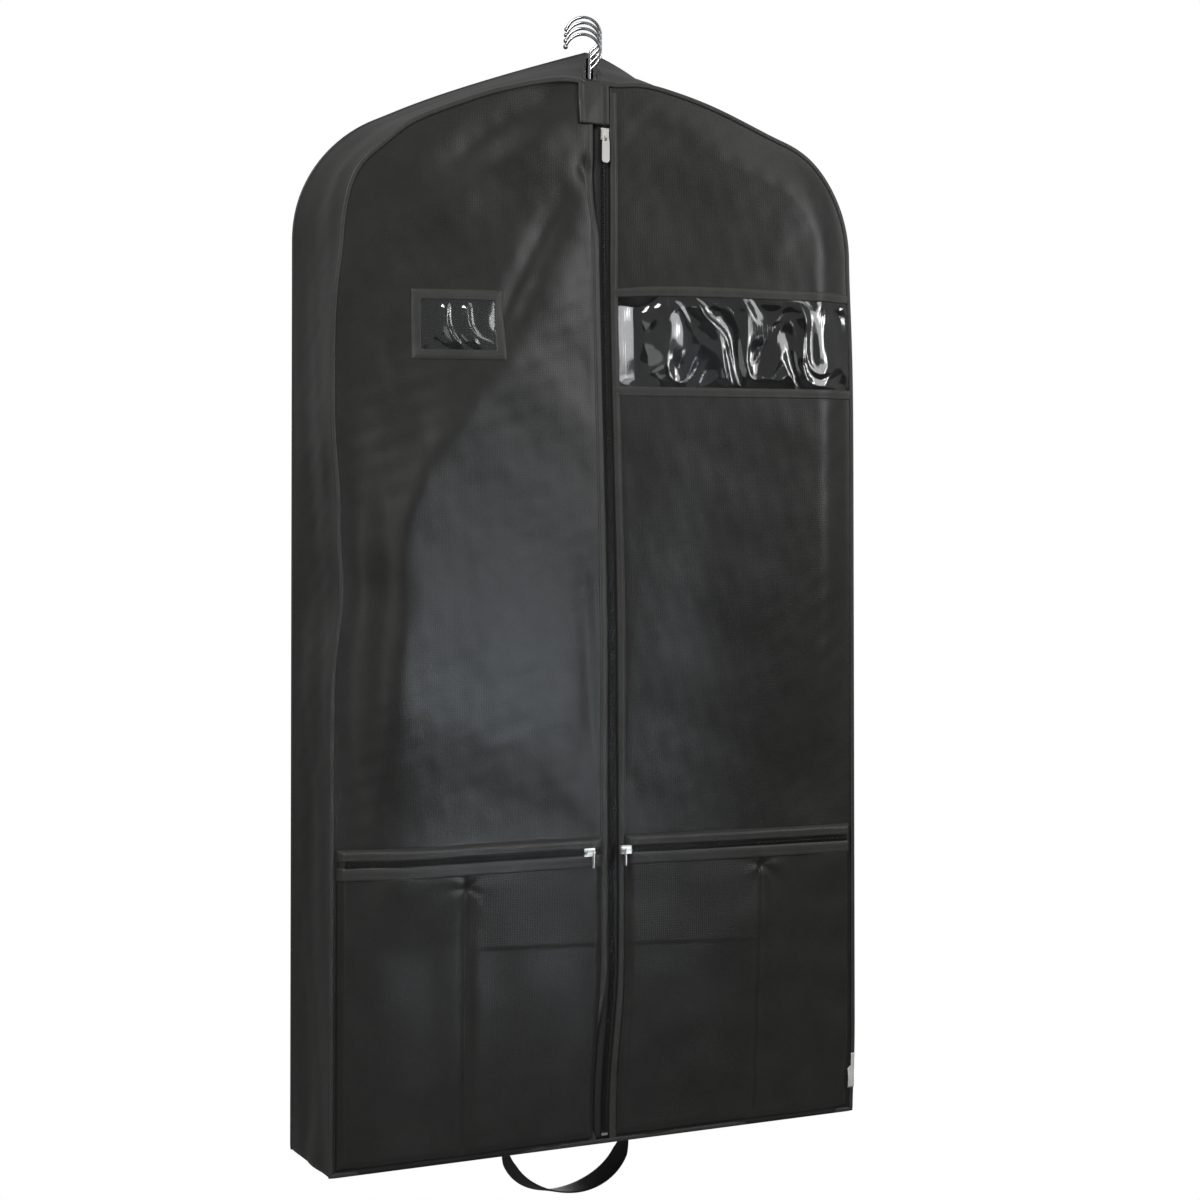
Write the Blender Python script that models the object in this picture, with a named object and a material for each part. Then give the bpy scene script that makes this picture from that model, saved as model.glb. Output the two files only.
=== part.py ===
"""Hanging garment bag with a full-length front zip, zipped pockets, windows and four hangers.

Metres, +Z up. The front faces -Y and +X is to the wearer's right as they look at the front.
The origin is on the carrying rail, under the crowns of the hanger hooks.
Heights in the constants are counted up from the bag's bottom edge.
"""

from math import cos, pi, radians, sin, tan

import bmesh
import bpy
from mathutils import Matrix, Vector

# Bag body
HEIGHT = 1.12  # bottom edge to the peak of the shoulders
HALF_BOTTOM = 0.305  # half width at the bottom edge
HALF_SHOULDER = 0.296  # half width where the shoulder curve starts
DEPTH = 0.110  # gusset depth
WALL = 0.0015  # cloth panel with its seam allowance
ROOF_WALL = 0.0018  # shoulder gusset, which carries a second layer
SLOPE = radians(17.5)  # fall of the shoulders away from the peak
SHOULDER_RADIUS = 0.125
FOLD = 0.560  # height of the line on which the bag folds in half
FOLD_STANDOFF = 0.004  # fold axis behind the back panel
GAP = 0.0004  # between pieces that are sewn or rest on each other

# Hangers, counted from the front
HANGERS = 4
PITCH_Y = 0.022  # from one hanger to the next, through the bag
RAIL_TURN = radians(24.0)  # the rail is not square to the bag, which has turned on its hooks
RAIL_RISE = 0.0107  # each hook hangs this much higher than the one before it
WIRE_R = 0.0016
HOOK_R = 0.0185  # hook bend, at the wire's centre
HOOK_OFFSET = 0.007  # neck beside the middle of the bend
HOOK_END = radians(55.0)  # bend runs this far below level before it turns into the neck
TIP_ANGLE = radians(162.0)
TIP_BALL_R = 0.0026
COLLAR_R = 0.0045
COLLAR_HEIGHT = 0.006
SPIGOT = 0.014  # wire's length inside the shoulder
SHOULDER_DROP = 0.080  # rail to the top of the hanger's shoulders
SHOULDER_HALF = 0.215
SHOULDER_THICK = 0.010
SHOULDER_DEEP = 0.024  # shoulder section at the neck
SHOULDER_TIP = 0.015  # and at its ends
SHOULDER_FALL = 0.062  # hanger's fall from its middle to its ends, before the ends curl down
SHOULDER_CURL = 0.020
CURL_POWER = 2.5
BORE_CLEAR = 0.0005

# Slot in the shoulders for the hooks, bound with tape
SLOT_WIDTH = 0.013
SLOT_END = 0.010  # past the first and last neck
BINDING = 0.005
BINDING_THICK = 0.001
BINDING_REACH = 0.045  # half the tape sheet that the slot's outline is cut from
CUT = 0.010  # how far a cutting helper runs past the cloth

# Tape folded over the seams between panels and gusset
EDGE_WIDE = 0.0045
EDGE_PROUD = 0.0016

# Main zip
ZIP_HALF = 0.005  # half the space between the front panels' hems
CHAIN_GAP = 0.0006  # half the space between the two chains
CHAIN_WIDE = 0.0024
TAPE_WIDE = 0.015
TAPE = 0.0010
SLIDER_TOP = 1.052  # closed slider's middle
SLIDER_LONG = 0.012
SLIDER_HALF = 0.0044
SLIDER_PLATE = 0.0020  # front plate stands this far before the cloth
SLIDER_DEEP = 0.0055
SLIDER_REAR = 0.0036  # rear plate's inner face
SLIDER_FACE = 0.0001
BAIL_LONG = 0.010
BAIL_HIGH = 0.0045
BAIL_THICK = 0.0012
PULL_LONG = 0.0265
PULL_HALF = 0.0042
PULL_THICK = 0.0012
PULL_NECK = 0.003
PULL_TAPER = 0.006
PULL_CORNER = 0.002
PULL_BAR = 0.00065
EYE_HALF = 0.0016
EYE_LONG = 0.0046
ZIP_BELOW_PEAK = 0.012
STOP_LOW = 0.007
STOP_HIGH = 0.0095
STOP_PROUD = 0.0012
GUARD_WIDE = 0.034
GUARD_LEFT = 0.022
GUARD_BELOW = 0.006  # guard's top edge below the peak
GUARD_LOW = 1.061

# Windows
WINDOW_LOW = 0.791
WINDOW_HIGH = 0.890
FILM = 0.0006
HEM = 0.007
HEM_THICK = 0.001
HEM_INSET = 0.005
CARD_X = -0.1655
CARD_Z = 0.8515
CARD_HALF_X = 0.0490
CARD_HALF_Z = 0.0350
CARD_BORDER = 0.010

# Pockets
POCKET_SPACE = 0.006  # room between the front panel and the pocket
POCKET_TOP = 0.310  # middle of the pocket zip
POCKET_EDGE = 0.013  # pocket's edge beside the main zip
POCKET_SIDE = 0.006  # pocket's edge inside the bag's side seam
DIVIDER_LEFT = -0.154
DIVIDER_RIGHT = 0.183
POCKET_SLIDER = 0.021  # closed slider's middle from the main zip
POCKET_CLOTH = 0.0018
POCKET_WALL = 0.0015
POCKET_FOOT = 0.005  # pocket's bottom above the bag's bottom edge
POCKET_UNDER_ZIP = 0.0105  # pocket front's top edge below the middle of its zip
POCKET_TAPE = 0.0100
POCKET_HEM = 0.016
POCKET_TAPE_BACK = 0.0008
POCKET_TAPE_PROUD = 0.0006
SEAM_HALF = 0.0008
SEAM_SHORT = 0.012
STICK_LONG = 0.0165
STICK_HALF = 0.0013
STICK_THICK = 0.0008
STICK_OFFSET = 0.0027
RING_R = 0.0023
RING_HOLE_R = 0.00135

# Carrying handle and label
HANDLE_X = -0.008
HANDLE_Y = 0.030
HANDLE_HALF = 0.072
HANDLE_DROP = 0.070
HANDLE_CLEAR = 0.0055  # strap's ends below the bag, so that it can swing
WEB_WIDE = 0.022
WEB_END = 0.008  # strap folded narrow where it is sewn on
WEB_THICK = 0.0022
TAB_HALF = 0.014
TAB_THICK = 0.0020
LABEL_LOW = 0.028
LABEL_HIGH = 0.066
LABEL_WIDE = 0.008
LABEL_THICK = 0.0008
LABEL_IN = 0.001

BOTTOM = -(HEIGHT + 0.051)
FRONT = -DEPTH / 2
BACK = DEPTH / 2
FOLD_AXIS = (0.0, BACK + FOLD_STANDOFF, BOTTOM + FOLD)
PIVOT = {"upper": (0.0, 0.0, 0.0), "lower": FOLD_AXIS}

COLOURS = {
    "cloth": (0.040, 0.040, 0.038, 0.85, 0.0),
    "tape": (0.020, 0.020, 0.020, 0.70, 0.0),
    "binding": (0.060, 0.060, 0.058, 0.80, 0.0),
    "webbing": (0.010, 0.010, 0.010, 0.75, 0.0),
    "film": (0.55, 0.57, 0.60, 0.08, 0.0),
    "chrome": (0.75, 0.75, 0.76, 0.12, 1.0),
    "nickel": (0.70, 0.69, 0.66, 0.25, 1.0),
    "moulding": (0.015, 0.015, 0.016, 0.45, 0.0),
    "label": (0.80, 0.80, 0.78, 0.80, 0.0),
}


def clear_scene():
    for obj in list(bpy.data.objects):
        bpy.data.objects.remove(obj, do_unlink=True)


def material(name, finish):
    """Principled material of the piece, from its finish in COLOURS."""
    red, green, blue, roughness, metallic = COLOURS[finish]
    made = bpy.data.materials.new(name)
    made.use_nodes = True
    shader = made.node_tree.nodes["Principled BSDF"]
    shader.inputs["Base Color"].default_value = (red, green, blue, 1.0)
    shader.inputs["Roughness"].default_value = roughness
    shader.inputs["Metallic"].default_value = metallic
    return made


def add_object(name, mesh_data, finish, pivot):
    """Object with its origin at pivot, from a bmesh in world coordinates."""
    mesh_data.normal_update()
    bmesh.ops.recalc_face_normals(mesh_data, faces=mesh_data.faces[:])
    mesh_data.transform(Matrix.Translation(-Vector(pivot)))
    mesh = bpy.data.meshes.new(name)
    mesh_data.to_mesh(mesh)
    mesh_data.free()
    obj = bpy.data.objects.new(name, mesh)
    obj.location = pivot
    bpy.context.scene.collection.objects.link(obj)
    if finish:
        mesh.materials.append(material(name, finish))
    return obj


def prism(points, axis, low, high):
    """Closed bmesh: a flat outline in the plane across axis, extruded from low to high.

    Points are (x, z) for axis Y, (x, y) for axis Z and (y, z) for axis X.
    """
    place = {
        "X": lambda a, b, along: (along, a, b),
        "Y": lambda a, b, along: (a, along, b),
        "Z": lambda a, b, along: (a, b, along),
    }[axis]
    solid = bmesh.new()
    ends = [[solid.verts.new(place(a, b, along)) for a, b in points] for along in (low, high)]
    solid.faces.new(ends[0])
    solid.faces.new(ends[1][::-1])
    count = len(points)
    for i in range(count):
        j = (i + 1) % count
        solid.faces.new((ends[0][i], ends[1][i], ends[1][j], ends[0][j]))
    return solid


def box(x_range, y_range, z_range):
    x0, x1 = x_range
    z0, z1 = z_range
    return prism([(x0, z0), (x1, z0), (x1, z1), (x0, z1)], "Y", *y_range)


def piece(name, solid, finish, pivot=PIVOT["upper"]):
    """Sub-part of the model; a moving one has its origin on its joint's axis."""
    return add_object(name, solid, finish, pivot)


def lower_piece(name, solid, finish):
    """Sub-part of the half that folds up behind the other."""
    return add_object(name, solid, finish, FOLD_AXIS)


def helper(name, solid):
    """Shape that only cuts or joins: left out of the model."""
    obj = add_object(name, solid, None, PIVOT["upper"])
    obj.hide_render = True
    obj.display_type = "WIRE"
    return obj


def combine(obj, other, operation):
    modifier = obj.modifiers.new(operation.title(), "BOOLEAN")
    modifier.operation = operation
    modifier.solver = "EXACT"
    modifier.object = other


def half_width(height):
    """Half the bag's width: it narrows evenly from the bottom to the shoulder curve."""
    share = min(height / shoulder_centre()[1], 1.0)
    return HALF_BOTTOM + (HALF_SHOULDER - HALF_BOTTOM) * share


def shoulder_centre():
    """Centre of the shoulder arc, which touches the side seam and the sloping top."""
    x = HALF_SHOULDER - SHOULDER_RADIUS
    return x, HEIGHT - x * tan(SLOPE) - SHOULDER_RADIUS / cos(SLOPE)


def side_path(inset, low):
    """Right-hand outline, from a height up the side and round the shoulder to the peak."""
    centre_x, centre_z = shoulder_centre()
    radius = SHOULDER_RADIUS - inset
    path = [(half_width(low) - inset, low)]
    steps = 12
    for i in range(steps + 1):
        angle = (pi / 2 - SLOPE) * i / steps
        path.append((centre_x + radius * cos(angle), centre_z + radius * sin(angle)))
    path.append((0.0, HEIGHT - inset / cos(SLOPE)))
    return path


def raised(points):
    """Outline points with heights above the bottom edge moved to world heights."""
    return [(x, z + BOTTOM) for x, z in points]


def mirrored(points):
    return [(-x, z) for x, z in points]


def top_at(x):
    """Height of the bag's outline over a point on the slope."""
    return HEIGHT - abs(x) * tan(SLOPE)


def half_panel(side, low, edge, inset=0.0):
    """One side of the front, from a height to the shoulders, with its inner edge at x = edge."""
    path = side_path(inset, low)[:-1]
    path += [(edge, top_at(edge) - inset / cos(SLOPE)), (edge, low)]
    return raised(path if side > 0 else mirrored(path))


def whole_panel(low):
    path = side_path(0.0, low)
    return raised(path + mirrored(path[:-1])[::-1])


def flat_quad(side, low, high, edge, outer=0.0):
    """Part of the front below the shoulders, between its inner edge and the side seam."""
    path = [
        (half_width(low) - outer, low),
        (half_width(high) - outer, high),
        (edge, high),
        (edge, low),
    ]
    return raised(path if side > 0 else mirrored(path))


def make_back_and_gusset():
    layer = (BACK - WALL, BACK)
    piece("back_panel_upper", prism(whole_panel(FOLD + GAP), "Y", *layer), "cloth")
    lower = [
        (-HALF_BOTTOM, 0.0),
        (HALF_BOTTOM, 0.0),
        (half_width(FOLD), FOLD - GAP),
        (-half_width(FOLD), FOLD - GAP),
    ]
    lower_piece("back_panel_lower", prism(raised(lower), "Y", *layer), "cloth")

    inside = (FRONT + WALL + GAP, BACK - WALL - GAP)
    start = shoulder_centre()[1] + GAP
    outer = side_path(0.0, start)
    inner = side_path(ROOF_WALL, start)
    outer[1] = (outer[1][0], start)
    inner[1] = (inner[1][0], start)
    outer_all = outer[1:] + mirrored(outer[1:-1])[::-1]
    inner_all = inner[1:] + mirrored(inner[1:-1])[::-1]
    roof = raised(outer_all + inner_all[::-1])
    top = piece("gusset_top", prism(roof, "Y", *inside), "cloth")
    combine(top, helper("slot_cutter", slot_box(SLOT_WIDTH / 2, SLOT_END, 0.03)), "DIFFERENCE")

    for side, word in ((-1, "left"), (1, "right")):
        for part, low, high in (
            ("upper", FOLD + GAP, start - 2 * GAP),
            ("lower", WALL + GAP, FOLD - GAP),
        ):
            strip = [
                (half_width(low), low),
                (half_width(high), high),
                (half_width(high) - WALL, high),
                (half_width(low) - WALL, low),
            ]
            strip = raised(strip if side > 0 else mirrored(strip))
            piece(f"gusset_{word}_{part}", prism(strip, "Y", *inside), "cloth", PIVOT[part])
    floor = box((-HALF_BOTTOM, HALF_BOTTOM), inside, (BOTTOM, BOTTOM + WALL))
    lower_piece("gusset_bottom", floor, "cloth")


def slot_box(half, end, reach):
    """Upright box along the row of necks, turned with the rail."""
    length = (HANGERS - 1) / 2 * PITCH_Y / cos(RAIL_TURN) + end
    centre_x, centre_y = neck_place(0.0)
    solid = box((-half, half), (-length, length), (-reach, reach))
    solid.transform(Matrix.Rotation(-RAIL_TURN, 4, "Z"))
    solid.transform(Matrix.Translation((centre_x, centre_y, BOTTOM + HEIGHT)))
    return solid


def make_slot_binding():
    """Folded tape sewn round the slot, lying on the roof."""
    roof = []
    for lift in (GAP, GAP + BINDING_THICK):
        rise = lift / cos(SLOPE)
        foot = top_at(BINDING_REACH) + rise
        line = [(-BINDING_REACH, foot), (0.0, HEIGHT + rise), (BINDING_REACH, foot)]
        roof += line if lift == GAP else line[::-1]
    solid = prism(raised(roof), "Y", FRONT + WALL, BACK - WALL)
    binding = piece("slot_binding", solid, "binding")
    outer = slot_box(SLOT_WIDTH / 2 + BINDING, SLOT_END + BINDING, 0.04)
    combine(binding, helper("binding_outline", outer), "INTERSECT")
    inner = slot_box(SLOT_WIDTH / 2, SLOT_END, 0.05)
    combine(binding, helper("binding_slot", inner), "DIFFERENCE")


def rim(low, high, y_range, closed_bottom):
    """Edge tape that follows the outline, open at its lower end or carried along the bottom."""
    if closed_bottom:
        outer = [(-half_width(high), high), (-HALF_BOTTOM, 0.0)]
        outer += [(HALF_BOTTOM, 0.0), (half_width(high), high)]
        inner = [(half_width(high) - EDGE_WIDE, high), (HALF_BOTTOM - EDGE_WIDE, EDGE_WIDE)]
        inner += [(EDGE_WIDE - HALF_BOTTOM, EDGE_WIDE), (EDGE_WIDE - half_width(high), high)]
        return prism(raised(outer + inner), "Y", *y_range)
    outer = side_path(0.0, low)
    inner = side_path(EDGE_WIDE, low)
    outer = outer + mirrored(outer[:-1])[::-1]
    inner = inner + mirrored(inner[:-1])[::-1]
    return prism(raised(outer + inner[::-1]), "Y", *y_range)


def make_edge_tapes():
    for word, near, far in (
        ("front", FRONT - EDGE_PROUD, FRONT - GAP),
        ("back", BACK + GAP, BACK + EDGE_PROUD),
    ):
        upper = rim(FOLD + GAP, HEIGHT, (near, far), False)
        piece(f"edge_tape_{word}_upper", upper, "binding")
        lower = rim(0.0, FOLD - GAP, (near, far), True)
        lower_piece(f"edge_tape_{word}_lower", lower, "binding")


def make_front():
    layer = (FRONT, FRONT + WALL)
    upper = FOLD + GAP
    piece("front_left_upper", prism(half_panel(-1, upper, ZIP_HALF), "Y", *layer), "cloth")
    piece("front_right_top", prism(half_panel(1, WINDOW_HIGH, ZIP_HALF), "Y", *layer), "cloth")
    middle = flat_quad(1, upper, WINDOW_LOW, ZIP_HALF)
    piece("front_right_middle", prism(middle, "Y", *layer), "cloth")
    for side, word in ((-1, "left"), (1, "right")):
        low = flat_quad(side, 0.0, FOLD - GAP, ZIP_HALF)
        lower_piece(f"front_{word}_lower", prism(low, "Y", *layer), "cloth")


def make_windows():
    middle = FRONT + WALL / 2
    film = flat_quad(1, WINDOW_LOW + GAP, WINDOW_HIGH - GAP, ZIP_HALF)
    film_layer = (middle - FILM / 2, middle + FILM / 2)
    piece("window_film", prism(film, "Y", *film_layer), "film")
    for word, low, high in (
        ("window_hem_lower", WINDOW_LOW - HEM, WINDOW_LOW + HEM / 4),
        ("window_hem_upper", WINDOW_HIGH - HEM / 4, WINDOW_HIGH + HEM),
    ):
        strip = flat_quad(1, low, high, ZIP_HALF, HEM_INSET)
        piece(word, prism(strip, "Y", FRONT - GAP - HEM_THICK, FRONT - GAP), "cloth")

    outer_x = (CARD_X - CARD_HALF_X, CARD_X + CARD_HALF_X)
    outer_z = (CARD_Z - CARD_HALF_Z + BOTTOM, CARD_Z + CARD_HALF_Z + BOTTOM)
    frame = piece("card_frame", box(outer_x, (FRONT - EDGE_PROUD, FRONT - GAP), outer_z), "cloth")
    hole_x = (outer_x[0] + CARD_BORDER, outer_x[1] - CARD_BORDER)
    hole_z = (outer_z[0] + CARD_BORDER, outer_z[1] - CARD_BORDER)
    hole = helper("card_hole", box(hole_x, (FRONT - CUT, FRONT + CUT), hole_z))
    combine(frame, hole, "DIFFERENCE")
    film_x = (hole_x[0] + GAP, hole_x[1] - GAP)
    film_z = (hole_z[0] + GAP, hole_z[1] - GAP)
    film_y = (FRONT - GAP - FILM, FRONT - GAP)
    piece("card_film", box(film_x, film_y, film_z), "film")


def make_main_zip():
    """Tapes behind the hems, with a moulded chain on the edge of each."""
    tape_y = (FRONT + WALL + GAP, FRONT + WALL + GAP + TAPE)
    chain_y = (FRONT + GAP, FRONT + WALL)
    top = HEIGHT - ZIP_BELOW_PEAK
    for side, word in ((-1, "left"), (1, "right")):
        for part, low, high in (
            ("upper", FOLD + GAP, top),
            ("lower", WALL + 4 * GAP, FOLD - GAP),
        ):
            span = (low + BOTTOM, high + BOTTOM)
            tape_x = sorted((side * CHAIN_GAP, side * TAPE_WIDE))
            tape = box(tape_x, tape_y, span)
            piece(f"zip_tape_{word}_{part}", tape, "tape", PIVOT[part])
            chain_x = sorted((side * CHAIN_GAP, side * (CHAIN_GAP + CHAIN_WIDE)))
            chain = box(chain_x, chain_y, span)
            piece(f"zip_chain_{word}_{part}", chain, "tape", PIVOT[part])
    guard_x = (-GUARD_LEFT, GUARD_WIDE - GUARD_LEFT)
    guard = [
        (guard_x[0], GUARD_LOW),
        (guard_x[1], GUARD_LOW),
        (guard_x[1], top_at(guard_x[1]) - GUARD_BELOW),
        (0.0, HEIGHT - GUARD_BELOW),
        (guard_x[0], top_at(guard_x[0]) - GUARD_BELOW),
    ]
    piece("zip_guard", prism(raised(guard), "Y", FRONT - EDGE_PROUD, FRONT - GAP), "cloth")
    stop_z = (BOTTOM + STOP_LOW, BOTTOM + STOP_HIGH)
    stop_x = (-CHAIN_WIDE - HEM_THICK, CHAIN_WIDE + HEM_THICK)
    lower_piece("zip_stop", box(stop_x, (FRONT - STOP_PROUD, FRONT), stop_z), "nickel")


def web_section(front, face, rear, inner):
    """Slider's cross-section: two plates joined by a thin web that passes between the chains."""
    half = SLIDER_HALF
    thin = CHAIN_GAP - 0.00035
    return [
        (-half, front), (half, front), (half, face), (thin, face),
        (thin, inner), (half, inner), (half, rear), (-half, rear),
        (-half, inner), (-thin, inner), (-thin, face), (-half, face),
    ]  # fmt: skip


def bail_outline(front, middle):
    """Arch on the slider's face that holds the pull, as (along the slide, depth) points."""
    half = BAIL_LONG / 2
    inner = half - BAIL_THICK
    foot = front + 0.0006
    crest = front - BAIL_HIGH
    under = crest + BAIL_THICK
    edge = BAIL_THICK / 2
    return [
        (middle - half, foot), (middle - half, crest + edge), (middle - half + edge, crest),
        (middle + half - edge, crest), (middle + half, crest + edge), (middle + half, foot),
        (middle + inner, foot), (middle + inner, under), (middle - inner, under),
        (middle - inner, foot),
    ]  # fmt: skip


def swap(points):
    return [(b, a) for a, b in points]


def make_main_slider():
    front = FRONT - SLIDER_PLATE
    rear = (FRONT + SLIDER_DEEP, FRONT + SLIDER_REAR)
    section = web_section(front, FRONT - SLIDER_FACE, *rear)
    middle = SLIDER_TOP + BOTTOM
    low, high = middle - SLIDER_LONG / 2, middle + SLIDER_LONG / 2
    solid = prism(section, "Z", low, high)
    slider = piece("main_slider", solid, "nickel", (0.0, FRONT, middle))
    arch = prism(swap(bail_outline(front, middle)), "X", -BAIL_THICK / 2, BAIL_THICK / 2)
    combine(slider, helper("main_bail", arch), "UNION")

    pivot_z = middle - BAIL_LONG / 2 + BAIL_THICK + 0.00105
    pivot = (0.0, front - 0.0016, pivot_z)
    half, neck, bar = PULL_HALF, PULL_NECK, PULL_BAR
    taper = pivot_z - PULL_TAPER
    foot = pivot_z - PULL_LONG
    corner = half - PULL_CORNER
    tab = [
        (-neck, pivot_z + bar), (neck, pivot_z + bar), (half, taper), (half, foot + PULL_CORNER),
        (corner, foot), (-corner, foot), (-half, foot + PULL_CORNER), (-half, taper),
    ]  # fmt: skip
    thick = (pivot[1] - PULL_THICK / 2, pivot[1] + PULL_THICK / 2)
    pull = piece("main_pull", prism(tab, "Y", *thick), "nickel", pivot)
    eye_z = (pivot_z - EYE_LONG, pivot_z - bar)
    eye = box((-EYE_HALF, EYE_HALF), (pivot[1] - CUT, pivot[1] + CUT), eye_z)
    combine(pull, helper("main_eye", eye), "DIFFERENCE")


def disc(radius, sides):
    return [(radius * cos(2 * pi * i / sides), radius * sin(2 * pi * i / sides)) for i in range(sides)]


def make_pockets():
    """A cloth front sewn on at its sides and bottom, with its zip along the top."""
    depth = FRONT - POCKET_SPACE
    zip_y = (depth - POCKET_CLOTH - POCKET_TAPE_PROUD, depth - POCKET_TAPE_BACK)
    middle = POCKET_TOP + BOTTOM
    for side, word, seam_x in ((-1, "left", DIVIDER_LEFT), (1, "right", DIVIDER_RIGHT)):
        top = POCKET_TOP - POCKET_UNDER_ZIP
        wall = POCKET_WALL
        outer = half_width(top) - POCKET_SIDE
        x_range = sorted((side * POCKET_EDGE, side * outer))
        z_range = (BOTTOM + POCKET_FOOT, BOTTOM + top)
        shell = box(x_range, (depth - POCKET_CLOTH, FRONT - GAP), z_range)
        front = lower_piece(f"pocket_{word}", shell, "cloth")
        hollow_x = (x_range[0] + wall, x_range[1] - wall)
        hollow = box(hollow_x, (depth, FRONT + CUT), (z_range[0] + wall, z_range[1] + CUT))
        combine(front, helper(f"pocket_hollow_{word}", hollow), "DIFFERENCE")

        seam = (seam_x - SEAM_HALF, seam_x + SEAM_HALF)
        seam_z = (z_range[0] + wall + GAP, z_range[1] - SEAM_SHORT)
        divider = box(seam, (depth + GAP, FRONT - GAP), seam_z)
        lower_piece(f"pocket_seam_{word}", divider, "cloth")

        hem_top = middle + POCKET_HEM
        tape_top = middle + POCKET_TAPE
        upper = [
            (zip_y[0], middle + CHAIN_GAP), (zip_y[1], middle + CHAIN_GAP),
            (zip_y[1], tape_top), (FRONT - GAP, tape_top), (FRONT - GAP, hem_top),
            (zip_y[0], hem_top),
        ]  # fmt: skip
        lower_piece(f"pocket_zip_{word}_upper", prism(upper, "X", *x_range), "tape")
        lower_z = (z_range[1] + GAP, middle - CHAIN_GAP)
        lower_piece(f"pocket_zip_{word}_lower", box(x_range, zip_y, lower_z), "tape")
        make_pocket_slider(side, word, zip_y, middle)


def make_pocket_slider(side, word, zip_y, middle):
    front = zip_y[0] - SLIDER_PLATE
    section = web_section(front, zip_y[0] - 0.0003, zip_y[1] + 0.0014, zip_y[1] + 0.0003)
    centre = side * POCKET_SLIDER
    low, high = centre - SLIDER_LONG / 2, centre + SLIDER_LONG / 2
    section = [(y, z + middle) for z, y in section]
    solid = prism(section, "X", low, high)
    slider = piece(f"pocket_slider_{word}", solid, "nickel", (centre, front, middle))
    half = BAIL_THICK / 2
    arch = prism(bail_outline(front, centre), "Z", middle - half, middle + half)
    combine(slider, helper(f"pocket_bail_{word}", arch), "UNION")

    pivot = (centre - side * STICK_OFFSET, front - BAIL_HIGH + half, middle)
    ring, hole, stem = RING_R, RING_HOLE_R, STICK_HALF
    sides = 16
    neck = [point for point in disc(ring, sides) if point[1] > -ring * 0.8]
    neck.sort(key=lambda point: (point[0] > 0.0, point[1] if point[0] < 0.0 else -point[1]))
    outline = neck + [(stem, -STICK_LONG + stem), (0.0, -STICK_LONG), (-stem, -STICK_LONG + stem)]
    outline = [(y + pivot[1], z + pivot[2]) for y, z in outline]
    thick = (pivot[0] - STICK_THICK, pivot[0] + STICK_THICK)
    pull = piece(f"pocket_pull_{word}", prism(outline, "X", *thick), "nickel", pivot)
    eye = [(y + pivot[1], z + pivot[2]) for y, z in disc(hole, sides)]
    cutter = prism(eye, "X", pivot[0] - CUT, pivot[0] + CUT)
    combine(pull, helper(f"pocket_eye_{word}", cutter), "DIFFERENCE")


def handle_path(samples):
    """Sagging loop: a half ellipse flattened a little at its foot, as (x, z) from its ends."""
    path = []
    for i in range(samples + 1):
        angle = pi * i / samples
        path.append((-HANDLE_HALF * cos(angle), -HANDLE_DROP * sin(angle) ** 0.8))
    return path


def make_handle():
    top = BOTTOM - HANDLE_CLEAR
    path = handle_path(24)
    outline = []
    for side in (-1, 1):
        edge = []
        for i, (x, z) in enumerate(path):
            before = path[max(i - 1, 0)]
            after = path[min(i + 1, len(path) - 1)]
            run = Vector((after[0] - before[0], after[1] - before[1])).normalized()
            shift = side * WEB_THICK / 2
            edge.append((x - run.y * shift + HANDLE_X, z + run.x * shift + top))
        outline += edge if side < 0 else edge[::-1]
    solid = prism(outline, "Y", HANDLE_Y - WEB_WIDE / 2, HANDLE_Y + WEB_WIDE / 2)
    for vert in solid.verts:
        spread = min((top - vert.co.z) / (HANDLE_DROP / 2), 1.0)
        width = WEB_END + (WEB_WIDE - WEB_END) * max(spread, 0.0)
        vert.co.y = HANDLE_Y + (vert.co.y - HANDLE_Y) * width / WEB_WIDE
    piece("handle", solid, "webbing", (HANDLE_X, HANDLE_Y, top))
    for side, word in ((-1, "left"), (1, "right")):
        x = HANDLE_X + side * HANDLE_HALF
        tab = box(
            (x - TAB_HALF, x + TAB_HALF),
            (HANDLE_Y - WEB_WIDE / 2, HANDLE_Y + WEB_WIDE / 2),
            (BOTTOM - TAB_THICK, BOTTOM - GAP),
        )
        lower_piece(f"handle_tab_{word}", tab, "webbing")


def make_label():
    """Blank folded label, caught in the side seam and standing free of the pocket."""
    edge = half_width(LABEL_LOW) - POCKET_SIDE - LABEL_IN
    face = FRONT - POCKET_SPACE - POCKET_CLOTH - GAP
    solid = box(
        (edge - LABEL_WIDE, edge), (face - LABEL_THICK, face), (LABEL_LOW + BOTTOM, LABEL_HIGH + BOTTOM)
    )
    lower_piece("side_label", solid, "label")


def crown_place(row):
    """Point of the rail under a hook's crown; row counts hangers from the middle one."""
    return row * PITCH_Y * tan(RAIL_TURN), row * PITCH_Y, row * RAIL_RISE


def neck_place(row):
    x, y, _ = crown_place(row)
    return x + HOOK_OFFSET * cos(RAIL_TURN), y - HOOK_OFFSET * sin(RAIL_TURN)


def hook_path():
    """Centre line of the wire in the hook's own plane, from its tip to the end in the shoulder.

    The neck is on x = 0 and the rail touches the crown at z = 0.
    """
    centre = Vector((-HOOK_OFFSET, WIRE_R - HOOK_R))
    steps = 16
    path = []
    for i in range(steps + 1):
        angle = TIP_ANGLE + (-HOOK_END - TIP_ANGLE) * i / steps
        path.append(centre + HOOK_R * Vector((cos(angle), sin(angle))))
    bend = path[-1].x / (1.0 - cos(HOOK_END))
    start = path[-1]
    steps = 4
    for i in range(1, steps + 1):
        left = HOOK_END * (1.0 - i / steps)
        x = start.x - bend * (cos(left) - cos(HOOK_END))
        z = start.y - bend * (sin(HOOK_END) - sin(left))
        path.append(Vector((x, z)))
    path.append(Vector((0.0, -SHOULDER_DROP - SPIGOT)))
    return path


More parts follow.
